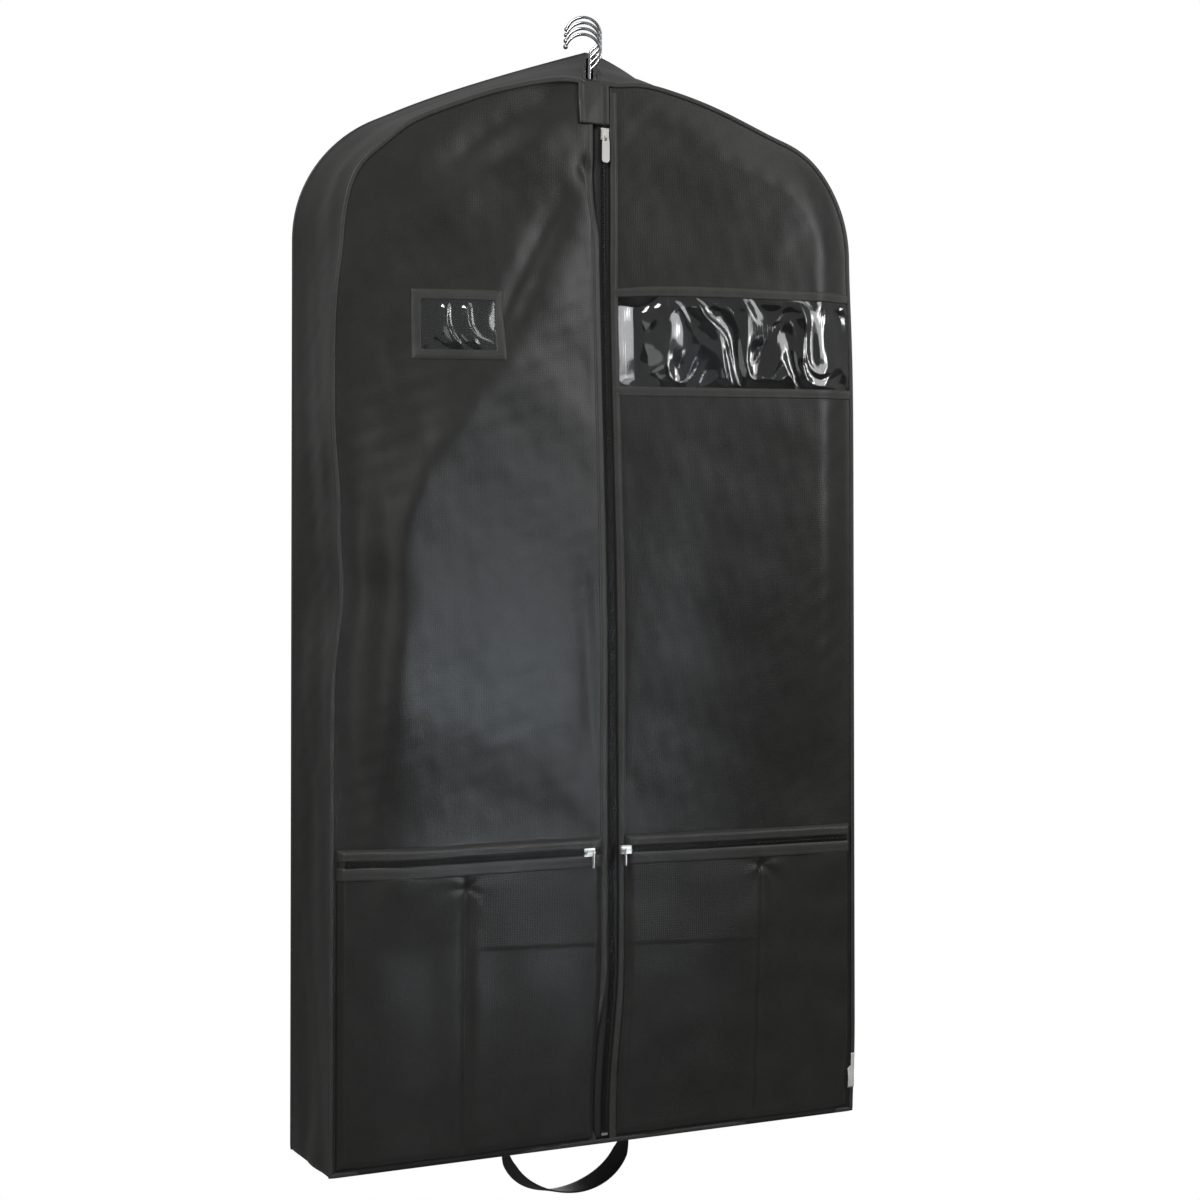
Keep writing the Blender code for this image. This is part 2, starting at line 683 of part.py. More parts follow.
def tube(path, radius, sides):
    """Closed round bar along a path in the XZ plane."""
    solid = bmesh.new()
    rings = []
    for i, point in enumerate(path):
        before = path[max(i - 1, 0)]
        after = path[min(i + 1, len(path) - 1)]
        run = (after - before).normalized()
        across = Vector((run.y, 0.0, -run.x))
        ring = []
        for k in range(sides):
            angle = 2 * pi * k / sides
            place = Vector((point.x, 0.0, point.y))
            place += radius * (across * cos(angle) + Vector((0.0, 1.0, 0.0)) * sin(angle))
            ring.append(solid.verts.new(place))
        rings.append(ring)
    for near, far in zip(rings, rings[1:]):
        for k in range(sides):
            j = (k + 1) % sides
            solid.faces.new((near[k], near[j], far[j], far[k]))
    solid.faces.new(rings[0][::-1])
    solid.faces.new(rings[-1])
    return solid


def smooth(obj):
    obj.data.shade_smooth()
    obj.data.set_sharp_from_angle(angle=radians(40.0))


def make_hanger(number):
    row = number - (HANGERS + 1) / 2
    neck_x, neck_y = neck_place(row)
    rail_z = crown_place(row)[2]
    place = Matrix.Translation((neck_x, neck_y, rail_z)) @ Matrix.Rotation(-RAIL_TURN, 4, "Z")

    wire = tube(hook_path(), WIRE_R, 10)
    wire.transform(place)
    hook = piece(f"hook_{number}", wire, "chrome", (neck_x, neck_y, rail_z))
    smooth(hook)
    ball = bmesh.new()
    bmesh.ops.create_uvsphere(ball, u_segments=12, v_segments=8, radius=TIP_BALL_R)
    tip = hook_path()[0]
    ball.transform(place @ Matrix.Translation((tip.x, 0.0, tip.y)))
    combine(hook, helper(f"hook_ball_{number}", ball), "UNION")
    seat = -SHOULDER_DROP + GAP
    collar = prism(disc(COLLAR_R, 20), "Z", seat, seat + COLLAR_HEIGHT)
    collar.transform(place)
    combine(hook, helper(f"hook_collar_{number}", collar), "UNION")

    top = rail_z - SHOULDER_DROP
    upper, lower = [], []
    steps = 10
    for i in range(-steps, steps + 1):
        x = SHOULDER_HALF * i / steps
        reach = abs(i) / steps
        fall = SHOULDER_FALL * reach + SHOULDER_CURL * reach**CURL_POWER
        deep = SHOULDER_DEEP + (SHOULDER_TIP - SHOULDER_DEEP) * reach
        upper.append((neck_x + x, top - fall))
        lower.append((neck_x + x, top - fall - deep))
    half = SHOULDER_THICK / 2
    body = prism(upper + lower[::-1], "Y", neck_y - half, neck_y + half)
    shoulders = piece(f"hanger_{number}", body, "moulding")
    bore = [(neck_x + x, neck_y + y) for x, y in disc(WIRE_R + BORE_CLEAR, 16)]
    cutter = prism(bore, "Z", top - SPIGOT - 2 * BORE_CLEAR, top + CUT)
    combine(shoulders, helper(f"hanger_bore_{number}", cutter), "DIFFERENCE")


def main():
    clear_scene()
    make_back_and_gusset()
    make_slot_binding()
    make_edge_tapes()
    make_front()
    make_windows()
    make_main_zip()
    make_main_slider()
    make_pockets()
    make_handle()
    make_label()
    for number in range(1, HANGERS + 1):
        make_hanger(number)


main()
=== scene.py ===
from math import cos, pi, radians, sin, tan

import bmesh
import bpy
import numpy as np
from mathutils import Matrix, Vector


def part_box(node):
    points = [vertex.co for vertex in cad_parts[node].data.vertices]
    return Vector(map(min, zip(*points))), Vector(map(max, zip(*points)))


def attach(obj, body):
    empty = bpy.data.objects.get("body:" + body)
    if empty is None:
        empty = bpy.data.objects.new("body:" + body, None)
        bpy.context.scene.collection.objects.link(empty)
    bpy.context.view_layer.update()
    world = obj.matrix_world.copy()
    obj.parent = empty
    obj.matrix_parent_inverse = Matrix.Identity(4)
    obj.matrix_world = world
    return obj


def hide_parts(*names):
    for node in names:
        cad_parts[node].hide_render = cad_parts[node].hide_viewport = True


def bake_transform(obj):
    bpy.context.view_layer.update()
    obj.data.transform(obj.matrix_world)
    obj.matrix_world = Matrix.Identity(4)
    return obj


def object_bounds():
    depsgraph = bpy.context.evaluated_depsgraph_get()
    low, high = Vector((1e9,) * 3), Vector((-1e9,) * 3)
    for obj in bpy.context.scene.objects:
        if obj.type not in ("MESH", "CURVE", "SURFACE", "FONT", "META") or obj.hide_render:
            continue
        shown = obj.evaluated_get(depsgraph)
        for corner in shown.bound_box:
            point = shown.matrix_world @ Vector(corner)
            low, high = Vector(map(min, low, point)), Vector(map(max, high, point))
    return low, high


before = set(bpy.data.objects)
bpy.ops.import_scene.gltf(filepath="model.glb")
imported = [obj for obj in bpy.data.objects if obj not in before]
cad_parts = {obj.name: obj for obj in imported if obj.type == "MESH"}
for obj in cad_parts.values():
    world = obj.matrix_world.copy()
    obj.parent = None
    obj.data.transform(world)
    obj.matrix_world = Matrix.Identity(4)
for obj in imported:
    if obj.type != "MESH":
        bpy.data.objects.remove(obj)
cad_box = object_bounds()

# --- Camera -----------------------------------------------------------------------
# A short telephoto a little to the left of the bag's front, nearly level with its middle.
AIM = Vector((0.0197, 0.0, -0.6023))
SIDE_ANGLE, RISE_ANGLE, CAMERA_AWAY = radians(-24.0), radians(3.0), 2.385
across_part = cos(RISE_ANGLE)
toward = Vector((sin(SIDE_ANGLE) * across_part, -cos(SIDE_ANGLE) * across_part, sin(RISE_ANGLE)))
camera_data = bpy.data.cameras.new("camera")
camera_data.lens = 67.05
camera_data.sensor_width = 36.0
camera = bpy.data.objects.new("camera", camera_data)
camera.location = AIM + toward * CAMERA_AWAY
camera.rotation_euler = toward.to_track_quat("Z", "Y").to_euler()
scene = bpy.context.scene
scene.collection.objects.link(camera)
scene.camera = camera
scene.view_settings.view_transform = "Standard"


# --- Floor and light --------------------------------------------------------------
# A plain white floor and sky, soft boxes to the left, to the right and behind, one on the
# right that streaks in the clear window, and two narrow beams for the left half's sheen.
def linear(code):
    """Linear RGBA of an sRGB hex code: over 12.92 below 0.04045, a power above."""
    value = np.array([int(code[i : i + 2], 16) for i in (1, 3, 5)]) / 255
    value = np.where(value <= 0.04045, value / 12.92, ((value + 0.055) / 1.055) ** 2.4)
    return (*value.tolist(), 1.0)


def add_node(tree, kind, settings=None, **links):
    """Node of a kind with its settings; links maps an input's name to a socket or a value.

    An input named in links has spaces written as underscores.
    """
    node = tree.nodes.new(kind)
    for name, value in (settings or {}).items():
        setattr(node, name, value)
    for name, value in links.items():
        key = int(name[1:]) if name[1:].isdigit() else name.replace("_", " ")
        if isinstance(value, bpy.types.NodeSocket):
            tree.links.new(value, node.inputs[key])
        else:
            node.inputs[key].default_value = value
    return node


def show_camera(tree, lit, shown, output):
    """Link to the output: shown for the camera's own rays, and lit for all the others."""
    ray = add_node(tree, "ShaderNodeLightPath").outputs["Is Camera Ray"]
    parts = {"_1": lit.outputs[0], "_2": shown.outputs[0]}
    mix = add_node(tree, "ShaderNodeMixShader", Fac=ray, **parts)
    tree.links.new(mix.outputs[0], tree.nodes[output].inputs["Surface"])


FLOOR_DROP = 0.55  # floor below the bag's lowest point
FLOOR_HALF = 30.0
WHITE = (1, 1, 1, 1)
white = bpy.data.materials.new("painted_floor")
white.use_nodes = True
tree = white.node_tree
shader = tree.nodes["Principled BSDF"]
shader.inputs["Base Color"].default_value = linear("#8c8c8c")
shader.inputs["Roughness"].default_value = 0.9
glow = add_node(tree, "ShaderNodeEmission", Color=WHITE, Strength=1.0)
show_camera(tree, shader, glow, "Material Output")
floor_mesh = bpy.data.meshes.new("floor")
level = cad_box[0][2] - FLOOR_DROP
corners = [(FLOOR_HALF * x, FLOOR_HALF * y, level) for x, y in ((-1, -1), (1, -1), (1, 1), (-1, 1))]
floor_mesh.from_pydata(corners, [], [(0, 1, 2, 3)])
floor_mesh.materials.append(white)
floor = bpy.data.objects.new("floor", floor_mesh)
scene.collection.objects.link(floor)

world = bpy.data.worlds.new("studio")
world.use_nodes = True
scene.world = world
tree = world.node_tree
fill = tree.nodes["Background"]
fill.inputs["Color"].default_value = WHITE
fill.inputs["Strength"].default_value = 0.28
sky = add_node(tree, "ShaderNodeBackground", Color=WHITE, Strength=1.0)
show_camera(tree, fill, sky, "World Output")
MIDDLE = (0.0, 0.0, -0.5)
SQUARE, SLIM = (0.8, 0.8), (0.12, 0.4)
WARM, COOL = (1.0, 0.99, 0.97), (0.80, 0.90, 1.0)


def soft_box(name, turn, height, watts, aim=MIDDLE, size=SQUARE, colour=WHITE[:3], spread=180, away=2.1):
    """Area light on a circle about the bag: turn in degrees from straight in front, to the
    right; a spread below 180 degrees is a grid that keeps the light to a beam.
    """
    data = bpy.data.lights.new(name, "AREA")
    data.shape = "RECTANGLE"
    data.size, data.size_y = size
    data.energy, data.color, data.spread = watts, colour, radians(spread)
    lamp = bpy.data.objects.new(name, data)
    lamp.location = (away * sin(radians(turn)), -away * cos(radians(turn)), height)
    lamp.rotation_euler = (lamp.location - Vector(aim)).to_track_quat("Z", "Y").to_euler()
    scene.collection.objects.link(lamp)


soft_box("key", -40, 1.1, 36, colour=WARM)
soft_box("fill", -40, -0.7, 1.85)
soft_box("right", 45, 0.1, 6.9)
soft_box("right_high", 45, 1.1, 4.0)
soft_box("streak", 52, -0.12, 3.2, (0.03, 0.0, -0.29), (0.25, 0.5))
soft_box("sheen_high", 30, -0.6, 0.026, (-0.14, 0.0, -0.6), SLIM, COOL, 14, 2.3)
soft_box("sheen_low", 30, -0.95, 0.072, (-0.20, 0.0, -0.82), SLIM, COOL, 14, 2.3)
soft_box("back", 165, -0.7, 9)


# --- Outline of the bag -----------------------------------------------------------
# The bag narrows a little from its bottom edge to its shoulders, which are an arc and a
# straight slope up to the peak. It hangs from the row of hooks through its roof, so the
# back of the roof is drawn up and along the rail, and the cloth before the first hook sags.
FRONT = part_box("front_left_upper")[0].y
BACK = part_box("back_panel_upper")[1].y
DEPTH = BACK - FRONT
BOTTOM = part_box("gusset_bottom")[0].z
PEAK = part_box("gusset_top")[1].z
HALF_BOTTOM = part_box("gusset_bottom")[1].x
HALF_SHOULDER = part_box("gusset_top")[1].x
SLOPE = radians(17.5)
ROUND_R = 0.125
ARC_X = HALF_SHOULDER - ROUND_R
ARC_Z = PEAK - ARC_X * tan(SLOPE) - ROUND_R / cos(SLOPE)
SLOPE_LONG = (ARC_X + ROUND_R * sin(SLOPE)) / cos(SLOPE)
ARC_LONG = ROUND_R * (pi / 2 - SLOPE)


def stacked(*parts):
    """Arrays spread to one shape and stacked on a new last axis, as x, y, z or a flat place."""
    return np.stack(np.broadcast_arrays(*parts), axis=-1)


def ease(t):
    """Smooth step: 3t^2 - 2t^3, with t held from 0 to 1."""
    t = np.clip(t, 0.0, 1.0)
    return t * t * (3.0 - 2.0 * t)


def bump(t, middle, width):
    """Bell: e to the minus square of the distance from the middle, in widths."""
    return np.exp(-(((t - middle) / width) ** 2))


def shoulder_line(u):
    """Outline from the peak (u 0) to the side seam (u 1), by distance: slope, then arc."""
    run = u * (SLOPE_LONG + ARC_LONG)
    angle = pi / 2 - SLOPE - (run - SLOPE_LONG) / ROUND_R
    straight = run < SLOPE_LONG
    x = np.where(straight, run * cos(SLOPE), ARC_X + ROUND_R * np.cos(angle))
    z = np.where(straight, PEAK - run * sin(SLOPE), ARC_Z + ROUND_R * np.sin(angle))
    return x, z


def half_wide(z):
    """Half width at a height: straight from the bottom edge to the shoulder arc."""
    share = np.clip((z - BOTTOM) / (ARC_Z - BOTTOM), 0.0, 1.0)
    return HALF_BOTTOM + (HALF_SHOULDER - HALF_BOTTOM) * share


def seam_shift(x, z, side, depth):
    """How the outline at (x, z) moves from the cut shape, as (dx, dz), from front to back.

    The front's side seams wander in by bells at a few heights, and its top sags at the
    middle and stands up beside it. The back's top is drawn up and towards +X.
    """
    height = z - BOTTOM
    across = np.abs(x)
    left = np.less(side, 0)
    left_in = 0.004 + 0.009 * bump(height, 0.585, 0.06) + 0.005 * bump(height, 0.68, 0.05)
    left_in = left_in + 0.009 * bump(height, 0.95, 0.06)
    right_in = 0.002 + 0.005 * bump(height, 0.95, 0.10) + 0.003 * bump(height, 0.0, 0.05)
    front_x = -side * np.where(left, left_in, right_in) * ease((across - 0.16) / 0.13)
    front_z = -0.0155 * bump(across, 0.0, 0.034) + 0.0065 * bump(across, 0.12, 0.07)
    front_z = front_z - np.where(left, 0.008, -0.002) * bump(across, 0.245, 0.03)
    high = ease((height - 0.86) / 0.12)
    front_z = front_z * high
    share = np.clip(across / HALF_SHOULDER, 0.0, 1.0)
    back_x = 0.030 * (1.0 - ease(share / 0.62)) * high + side * 0.003
    rise = 0.029 * (1.0 - ease(share / np.where(left, 1.05, 0.85)))
    back_z = (0.006 + rise) * high
    return (1 - depth) * front_x + depth * back_x, (1 - depth) * front_z + depth * back_z


def rim_point(t, side, depth):
    """Outline at depth 0 (front) to 1 (back): t 0 to 1 up the side seam, 1 to 2 to the peak."""
    up = np.clip(t, 0.0, 1.0)
    top_x, top_z = shoulder_line(np.clip(2.0 - t, 0.0, 1.0))
    x = side * np.where(t < 1.0, HALF_BOTTOM + (HALF_SHOULDER - HALF_BOTTOM) * up, top_x)
    z = np.where(t < 1.0, BOTTOM + (ARC_Z - BOTTOM) * up, top_z)
    shift_x, shift_z = seam_shift(x, z, side, depth)
    return stacked(x + shift_x, FRONT + DEPTH * depth, z + shift_z)


SIDE_STEPS, SHOULDER_STEPS = 235, 92
side_part = np.linspace(0.0, 1.0, SIDE_STEPS, endpoint=False)
RIM_STEPS = np.concatenate([side_part, np.linspace(1.0, 2.0, SHOULDER_STEPS)])


# --- Cloth ------------------------------------------------------------------------
# Spunbond non-woven polypropylene, about 100 g a square metre: continuous fibres laid
# down at random and bonded by a hot roller in a grid of fine dots. It is matt black with
# a soft waxy sheen and slightly uneven, cloudy density.
def new_material(name, colour, roughness, **settings):
    """Principled material with its plain values set on the shader's own sockets."""
    made = bpy.data.materials.new(name)
    made.use_nodes = True
    shader = made.node_tree.nodes["Principled BSDF"]
    shader.inputs["Base Color"].default_value = linear(colour)
    shader.inputs["Roughness"].default_value = roughness
    for key, value in settings.items():
        shader.inputs[key.replace("_", " ")].default_value = value
    return made


FIBRE_SCALE, CLOUD_SCALE = 420.0, 26.0  # clumps of fibre 2.4 mm wide, clouds of 38 mm
DOT_PITCH = 0.0026  # bond dots; the real ones are 1 to 1.5 mm apart, too fine to show


def nonwoven(name, dark, light, dot_depth, roughness):
    """Bonded cloth: dots on a square grid over the piece's own cut, with cloudy density."""
    made = new_material(
        name, dark, roughness, Sheen_Weight=0.03, Sheen_Roughness=0.45, Specular_IOR_Level=0.42
    )
    tree = made.node_tree
    shader = tree.nodes["Principled BSDF"]
    cut = add_node(tree, "ShaderNodeUVMap", {"uv_map": "cut"}).outputs[0]
    place = add_node(tree, "ShaderNodeTexCoord").outputs["Object"]
    dots = add_node(
        tree, "ShaderNodeTexVoronoi", {"voronoi_dimensions": "2D"},
        Vector=cut, Scale=1.0 / DOT_PITCH, Randomness=0.12,
    )
    fibre, cloud = (
        add_node(tree, "ShaderNodeTexNoise", Vector=place, Scale=scale, Detail=detail, Roughness=rough)
        for scale, detail, rough in ((FIBRE_SCALE, 3.0, 0.65), (CLOUD_SCALE, 5.0, 0.62))
    )
    spread = add_node(
        tree, "ShaderNodeMath", {"operation": "MULTIPLY_ADD"},
        _0=fibre.outputs["Fac"], _1=0.55, _2=-0.28,
    )
    uneven = add_node(
        tree, "ShaderNodeMath", {"operation": "ADD", "use_clamp": True},
        _0=cloud.outputs["Fac"], _1=spread.outputs[0],
    )
    ramp = add_node(tree, "ShaderNodeValToRGB", Fac=uneven.outputs[0])
    ramp.color_ramp.elements[0].position, ramp.color_ramp.elements[1].position = 0.28, 0.72
    ramp.color_ramp.elements[0].color = linear(dark)
    ramp.color_ramp.elements[1].color = linear(light)
    tree.links.new(ramp.outputs["Color"], shader.inputs["Base Color"])
    height = add_node(
        tree, "ShaderNodeMath", {"operation": "MULTIPLY_ADD"},
        _0=dots.outputs["Distance"], _1=0.7, _2=fibre.outputs["Fac"],
    )
    relief = add_node(
        tree, "ShaderNodeBump", Strength=dot_depth, Distance=0.0006, Height=height.outputs[0]
    )
    tree.links.new(relief.outputs["Normal"], shader.inputs["Normal"])
    return made


CLOTH = nonwoven("nonwoven_polypropylene", "#232322", "#2c2c2b", 0.24, 0.38)
CLOTH_THICK = 0.0006


def grid_mesh(name, points, cut, material, flip=False, closed=False):
    """Object from rows of points, with a UV map in metres of the flat cloth.

    closed joins each row's last point to its first.
    """
    rows, cols = points.shape[:2]
    index = np.arange(rows * cols).reshape(rows, cols)
    if closed:
        index = np.concatenate([index, index[:, :1]], axis=1)
        cut = np.concatenate([cut, cut[:, :1] + [[[0.0, 0.02]]]], axis=1)
    corners = [index[:-1, :-1], index[:-1, 1:], index[1:, 1:], index[1:, :-1]]
    spots = [cut[:-1, :-1], cut[:-1, 1:], cut[1:, 1:], cut[1:, :-1]]
    if flip:
        corners, spots = corners[::-1], spots[::-1]
    faces = np.stack(corners, axis=-1).reshape(-1, 4)
    mesh = bpy.data.meshes.new(name)
    mesh.from_pydata(points.reshape(-1, 3).tolist(), [], faces.tolist())
    layer = mesh.uv_layers.new(name="cut")
    layer.data.foreach_set("uv", np.stack(spots, axis=-2).reshape(-1).astype(np.float32))
    mesh.polygons.foreach_set("use_smooth", np.ones(len(faces), dtype=bool))
    mesh.materials.append(material)
    mesh.update()
    piece = bpy.data.objects.new(name, mesh)
    scene.collection.objects.link(piece)
    return piece


def give_thickness(piece, thick=CLOTH_THICK):
    """Solidify: the cloth's own thickness, added behind its face."""
    modifier = piece.modifiers.new("thickness", "SOLIDIFY")
    modifier.thickness, modifier.offset = thick, -1.0


def across_fold(piece):
    """Writes the piece's placement into its points; it does not bend the cloth where the bag folds in
    half.
    """
    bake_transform(piece)


# --- Front panels -----------------------------------------------------------------
# Two halves of one layer of cloth either side of the zip, turned in along it. The left
# half is drawn out into a soft ridge that starts at a pinch beside the slider and runs
# down towards the side seam; the right half hangs nearly flat and holds the window.
SLIDER_Z = (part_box("main_slider")[0].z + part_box("main_slider")[1].z) / 2
WINDOW_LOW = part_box("window_film")[0].z
WINDOW_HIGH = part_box("window_film")[1].z
PINCH_X, PINCH_Z = -0.022, SLIDER_Z - 0.030


ZIP_BOW = 0.0095


def zip_line(z):
    """Where the zip runs, across the bag: it bows towards +X below its middle."""
    height = z - BOTTOM
    return ZIP_BOW * ease((height - 0.03) / 0.16) * (1.0 - ease((height - 0.48) / 0.52))


def zip_gap(z, side):
    """From the zip's middle to a panel's hem; the left one opens at its top and bottom."""
    height = z - BOTTOM
    if side < 0:
        flare = 0.013 * ease((0.19 - height) / 0.13) * (1.0 - 0.75 * ease((0.03 - height) / 0.03))
        return 0.0056 + 0.0075 * ease((height - 0.955) / 0.05) + flare
    return 0.0060 + 0.0015 * bump(height, 0.25, 0.15) + 0.0012 * bump(height, 0.99, 0.06)


def inset(x, z):
    """Distance inwards from the cut outline: to its side, slope or arc."""
    across = np.abs(x)
    beside = half_wide(z) - across
    below = (PEAK - across * tan(SLOPE) - z) * cos(SLOPE)
    turn = np.arctan2(z - ARC_Z, across - ARC_X)
    corner = (across > ARC_X) & (z > ARC_Z) & (turn < pi / 2 - SLOPE)
    round_gap = ROUND_R - np.hypot(across - ARC_X, z - ARC_Z)
    return np.where(corner, round_gap, np.minimum(beside, below))


WAVES = 9


def wander(x, z, seed, long, high):
    """Sum of plane waves in random directions, with lengths about long and height high."""
    rng = np.random.default_rng(seed)
    total = np.zeros(np.broadcast(x, z).shape)
    for _ in range(WAVES):
        angle, phase, scale = rng.uniform((0, 0, 0.6), (2 * pi, 2 * pi, 1.7))
        along = x * cos(angle) + z * sin(angle)
        total = total + np.sin(2 * pi * along / (long * scale) + phase)
    return total * high / WAVES**0.5


def fold_along(x, z, start, end, wide, high):
    """Soft fold: a bell across the line from start to end that fades at both ends."""
    run = np.array(end) - np.array(start)
    long = float(np.hypot(*run))
    along = ((x - start[0]) * run[0] + (z - BOTTOM - start[1]) * run[1]) / long
    off = ((x - start[0]) * run[1] - (z - BOTTOM - start[1]) * run[0]) / long
    fade = ease(along / (0.3 * long)) * ease((long - along) / (0.4 * long))
    return high * fade * np.exp(-((off / wide) ** 2))


# Each fold: its start and end as (x, height over the bottom), its width and how far it stands out.
LEFT_FOLDS = [
    ((-0.012, 1.110), (-0.200, 0.985), 0.019, -0.0062),
    ((-0.020, 1.075), (-0.235, 0.925), 0.022, 0.0040),
    ((PINCH_X - 0.004, 1.020), (-0.150, 0.800), 0.013, -0.0042),
    ((-0.255, 0.860), (-0.185, 0.700), 0.020, -0.0030),
    ((-0.300, 0.600), (-0.205, 0.570), 0.026, -0.0022),
    ((-0.070, 0.500), (-0.050, 0.330), 0.020, 0.0016),
    ((-0.034, 0.640), (-0.022, 0.380), 0.010, -0.0018),
]
RIGHT_FOLDS = [
    ((0.040, 0.780), (0.060, 0.330), 0.030, 0.0007),
    ((0.110, 0.770), (0.130, 0.350), 0.035, -0.0018),
    ((0.230, 1.000), (0.180, 0.910), 0.020, 0.0012),
    ((0.020, 1.075), (0.120, 1.030), 0.014, -0.0016),
]


def left_relief(x, z):
    """How far the left half stands out: two slopes that meet in a soft ridge, plus folds.

    One slope rises from the zip and one from the side seam; a soft minimum joins them.
    """
    height = z - BOTTOM
    ridge_x = -0.024 - 0.214 * ease((1.035 - height) / 0.42) ** 1.4
    low = 0.0050 + 0.0075 * ease((height - 0.20) / 0.10)
    high = low + 0.0145 * ease((height - 0.33) / 0.15) * (1 - ease((height - 0.62) / 0.34))
    high = high - 0.0070 * ease((height - 0.70) / 0.26)
    high = high + 0.0050 * bump(height, 0.84, 0.13)
    from_zip = high * x / ridge_x
    from_seam = high * (x + half_wide(z)) / (ridge_x + half_wide(z))
    soft = 0.0024
    out = -soft * np.logaddexp(-from_zip / soft, -from_seam / soft)
    out = np.maximum(out, -0.0015) * ease(inset(x, z) / 0.05)
    for fold in LEFT_FOLDS:
        out = out + fold_along(x, z, *fold)
    out = out * ease((np.abs(x) - 0.003) / 0.016)
    pinch = np.hypot(x - PINCH_X, (z - PINCH_Z) * 0.8)
    return out - 0.0050 * np.exp(-((pinch / 0.010) ** 2))


def right_relief(x, z):
    """The right half stands out a little towards its side seam, with long shallow folds."""
    height = z - BOTTOM
    out = 0.0165 * np.clip(x / 0.26, 0.0, 1.0) * ease((inset(x, z) + 0.004) / 0.056)
    out = out * (0.22 + 0.78 * ease((height - 0.330) / 0.28))
    for fold in RIGHT_FOLDS:
        out = out + fold_along(x, z, *fold)
    out = out + 0.0015 * bump(height, 0.55, 0.2) * ease(inset(x, z) / 0.08)
    return out * ease((x - 0.003) / 0.016)


RELIEF = {-1: left_relief, 1: right_relief}


def front_point(x, z, side, lift=0.0):
    """Point of the hanging front from its place (x, z) in the flat cut, lifted outwards."""
    relief = RELIEF[side](x, z)
    calm = ease(inset(x, z) / 0.03) * ease(np.abs(x) / 0.03)
    relief = relief + calm * wander(x, z, 11 + side, 0.110, 0.0007)
    relief = relief + calm * wander(x, z, 21 + side, 0.034, 0.00016)
    shift_x, shift_z = seam_shift(x, z, side, 0.0)
    bow = zip_line(z) * np.exp(-((x / 0.11) ** 2))
    return stacked(x + shift_x + bow, FRONT - relief - lift, z + shift_z)


def steps(count, low=0.0, high=1.0):
    """Even steps as a column, which places a grid's rows; turned on its side, its columns."""
    return np.linspace(low, high, count)[:, None]


START = ARC_Z - 0.02  # the level above which the rows turn into the shoulder's shape
COLUMNS = steps(96).T  # shares of the way from the zip to the side
TURNING = steps(60)


def panel_cut(side, low, high, rows):
    """Flat cut of half the front from low to high, as (x, z) arrays: level rows."""
    z = steps(rows, low, high)
    return side * zip_gap(z, side) * (1 - COLUMNS) + side * half_wide(z) * COLUMNS, z + 0 * COLUMNS


def shoulder_cut(side, low, rows):
    """Flat cut from low to START in level rows, then in lines that turn into the outline."""
    level_x, level_z = panel_cut(side, low, START, rows)
    top_x, top_z = shoulder_line(COLUMNS)
    x = (1 - TURNING) * COLUMNS * half_wide(START) + TURNING * top_x
    z = (1 - TURNING) * START + TURNING * top_z
    x = side * (x + zip_gap(z, side) * (1 - ease(x / 0.03)))
    return np.concatenate([level_x[:-1], x]), np.concatenate([level_z[:-1], z])


def front_piece(name, side, x, z):
    """Panel of the front from its flat cut, with its thickness behind its face."""
    piece = grid_mesh(name, front_point(x, z, side), stacked(x, z), CLOTH, flip=side < 0)
    give_thickness(piece)
    return piece


left_half = front_piece("front_left", -1, *shoulder_cut(-1, BOTTOM, 250))
across_fold(left_half)
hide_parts("front_left_upper", "front_left_lower")

right_below = front_piece("front_right", 1, *panel_cut(1, BOTTOM, WINDOW_LOW, 216))
across_fold(right_below)
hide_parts("front_right_middle", "front_right_lower")

right_top = front_piece("front_right_top_cloth", 1, *shoulder_cut(1, WINDOW_HIGH, 8))
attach(right_top, "upper")
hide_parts("front_right_top")


# --- Gusset -----------------------------------------------------------------------
# One long strip of the same cloth from the bottom corner up the side, over the shoulders
# and down again, and a short one across the bottom. The hooks come out through a slot
# along the middle of the roof, which follows the rail and so lies askew.
RAIL_TURN = radians(24.0)
SLOT_MIDDLE = np.array([0.0064, -0.0028])
SLOT_HALF_LONG, SLOT_HALF_WIDE = 0.0440, 0.0050


def rim_out(t, side):
    """Outward direction of the outline in the XZ plane, level up the side and turning over."""
    u = np.clip(2.0 - t, 0.0, 1.0)
    run = u * (SLOPE_LONG + ARC_LONG)
    angle = pi / 2 - SLOPE - np.clip((run - SLOPE_LONG) / ROUND_R, 0.0, pi / 2 - SLOPE)
    return side * np.cos(angle), np.sin(angle)


def gusset_point(t, side, depth):
    """Outline swept from front to back, drawn in a few millimetres along its middle."""
    point = rim_point(t, side, depth)
    out_x, out_z = rim_out(t, side)
    height = point[..., 2] - BOTTOM
    hollow = 0.0030 * np.sin(pi * depth) * ease(height / 0.05) * (1 - 0.8 * ease(t - 1))
    ripple = wander(point[..., 1] * 2.5, point[..., 2], 5 + side, 0.16, 0.0011)
    ripple = ripple + wander(point[..., 1], point[..., 2], 8 + side, 0.030, 0.00018)
    inward = hollow + ripple * np.sin(pi * depth)
    return point + stacked(-out_x * inward, 0.0 * depth, -out_z * inward)


def slot_place(x, y):
    """(along, across) of a plan point, measured in the slot's own turned axes."""
    dx, dy = x - SLOT_MIDDLE[0], y - SLOT_MIDDLE[1]
    return dx * sin(RAIL_TURN) + dy * cos(RAIL_TURN), dx * cos(RAIL_TURN) - dy * sin(RAIL_TURN)


def distances(path):
    """Distance along a path to each of its points: the running sum of the steps' lengths."""
    return np.concatenate([[0.0], np.cumsum(np.linalg.norm(np.diff(path, axis=0), axis=1))])


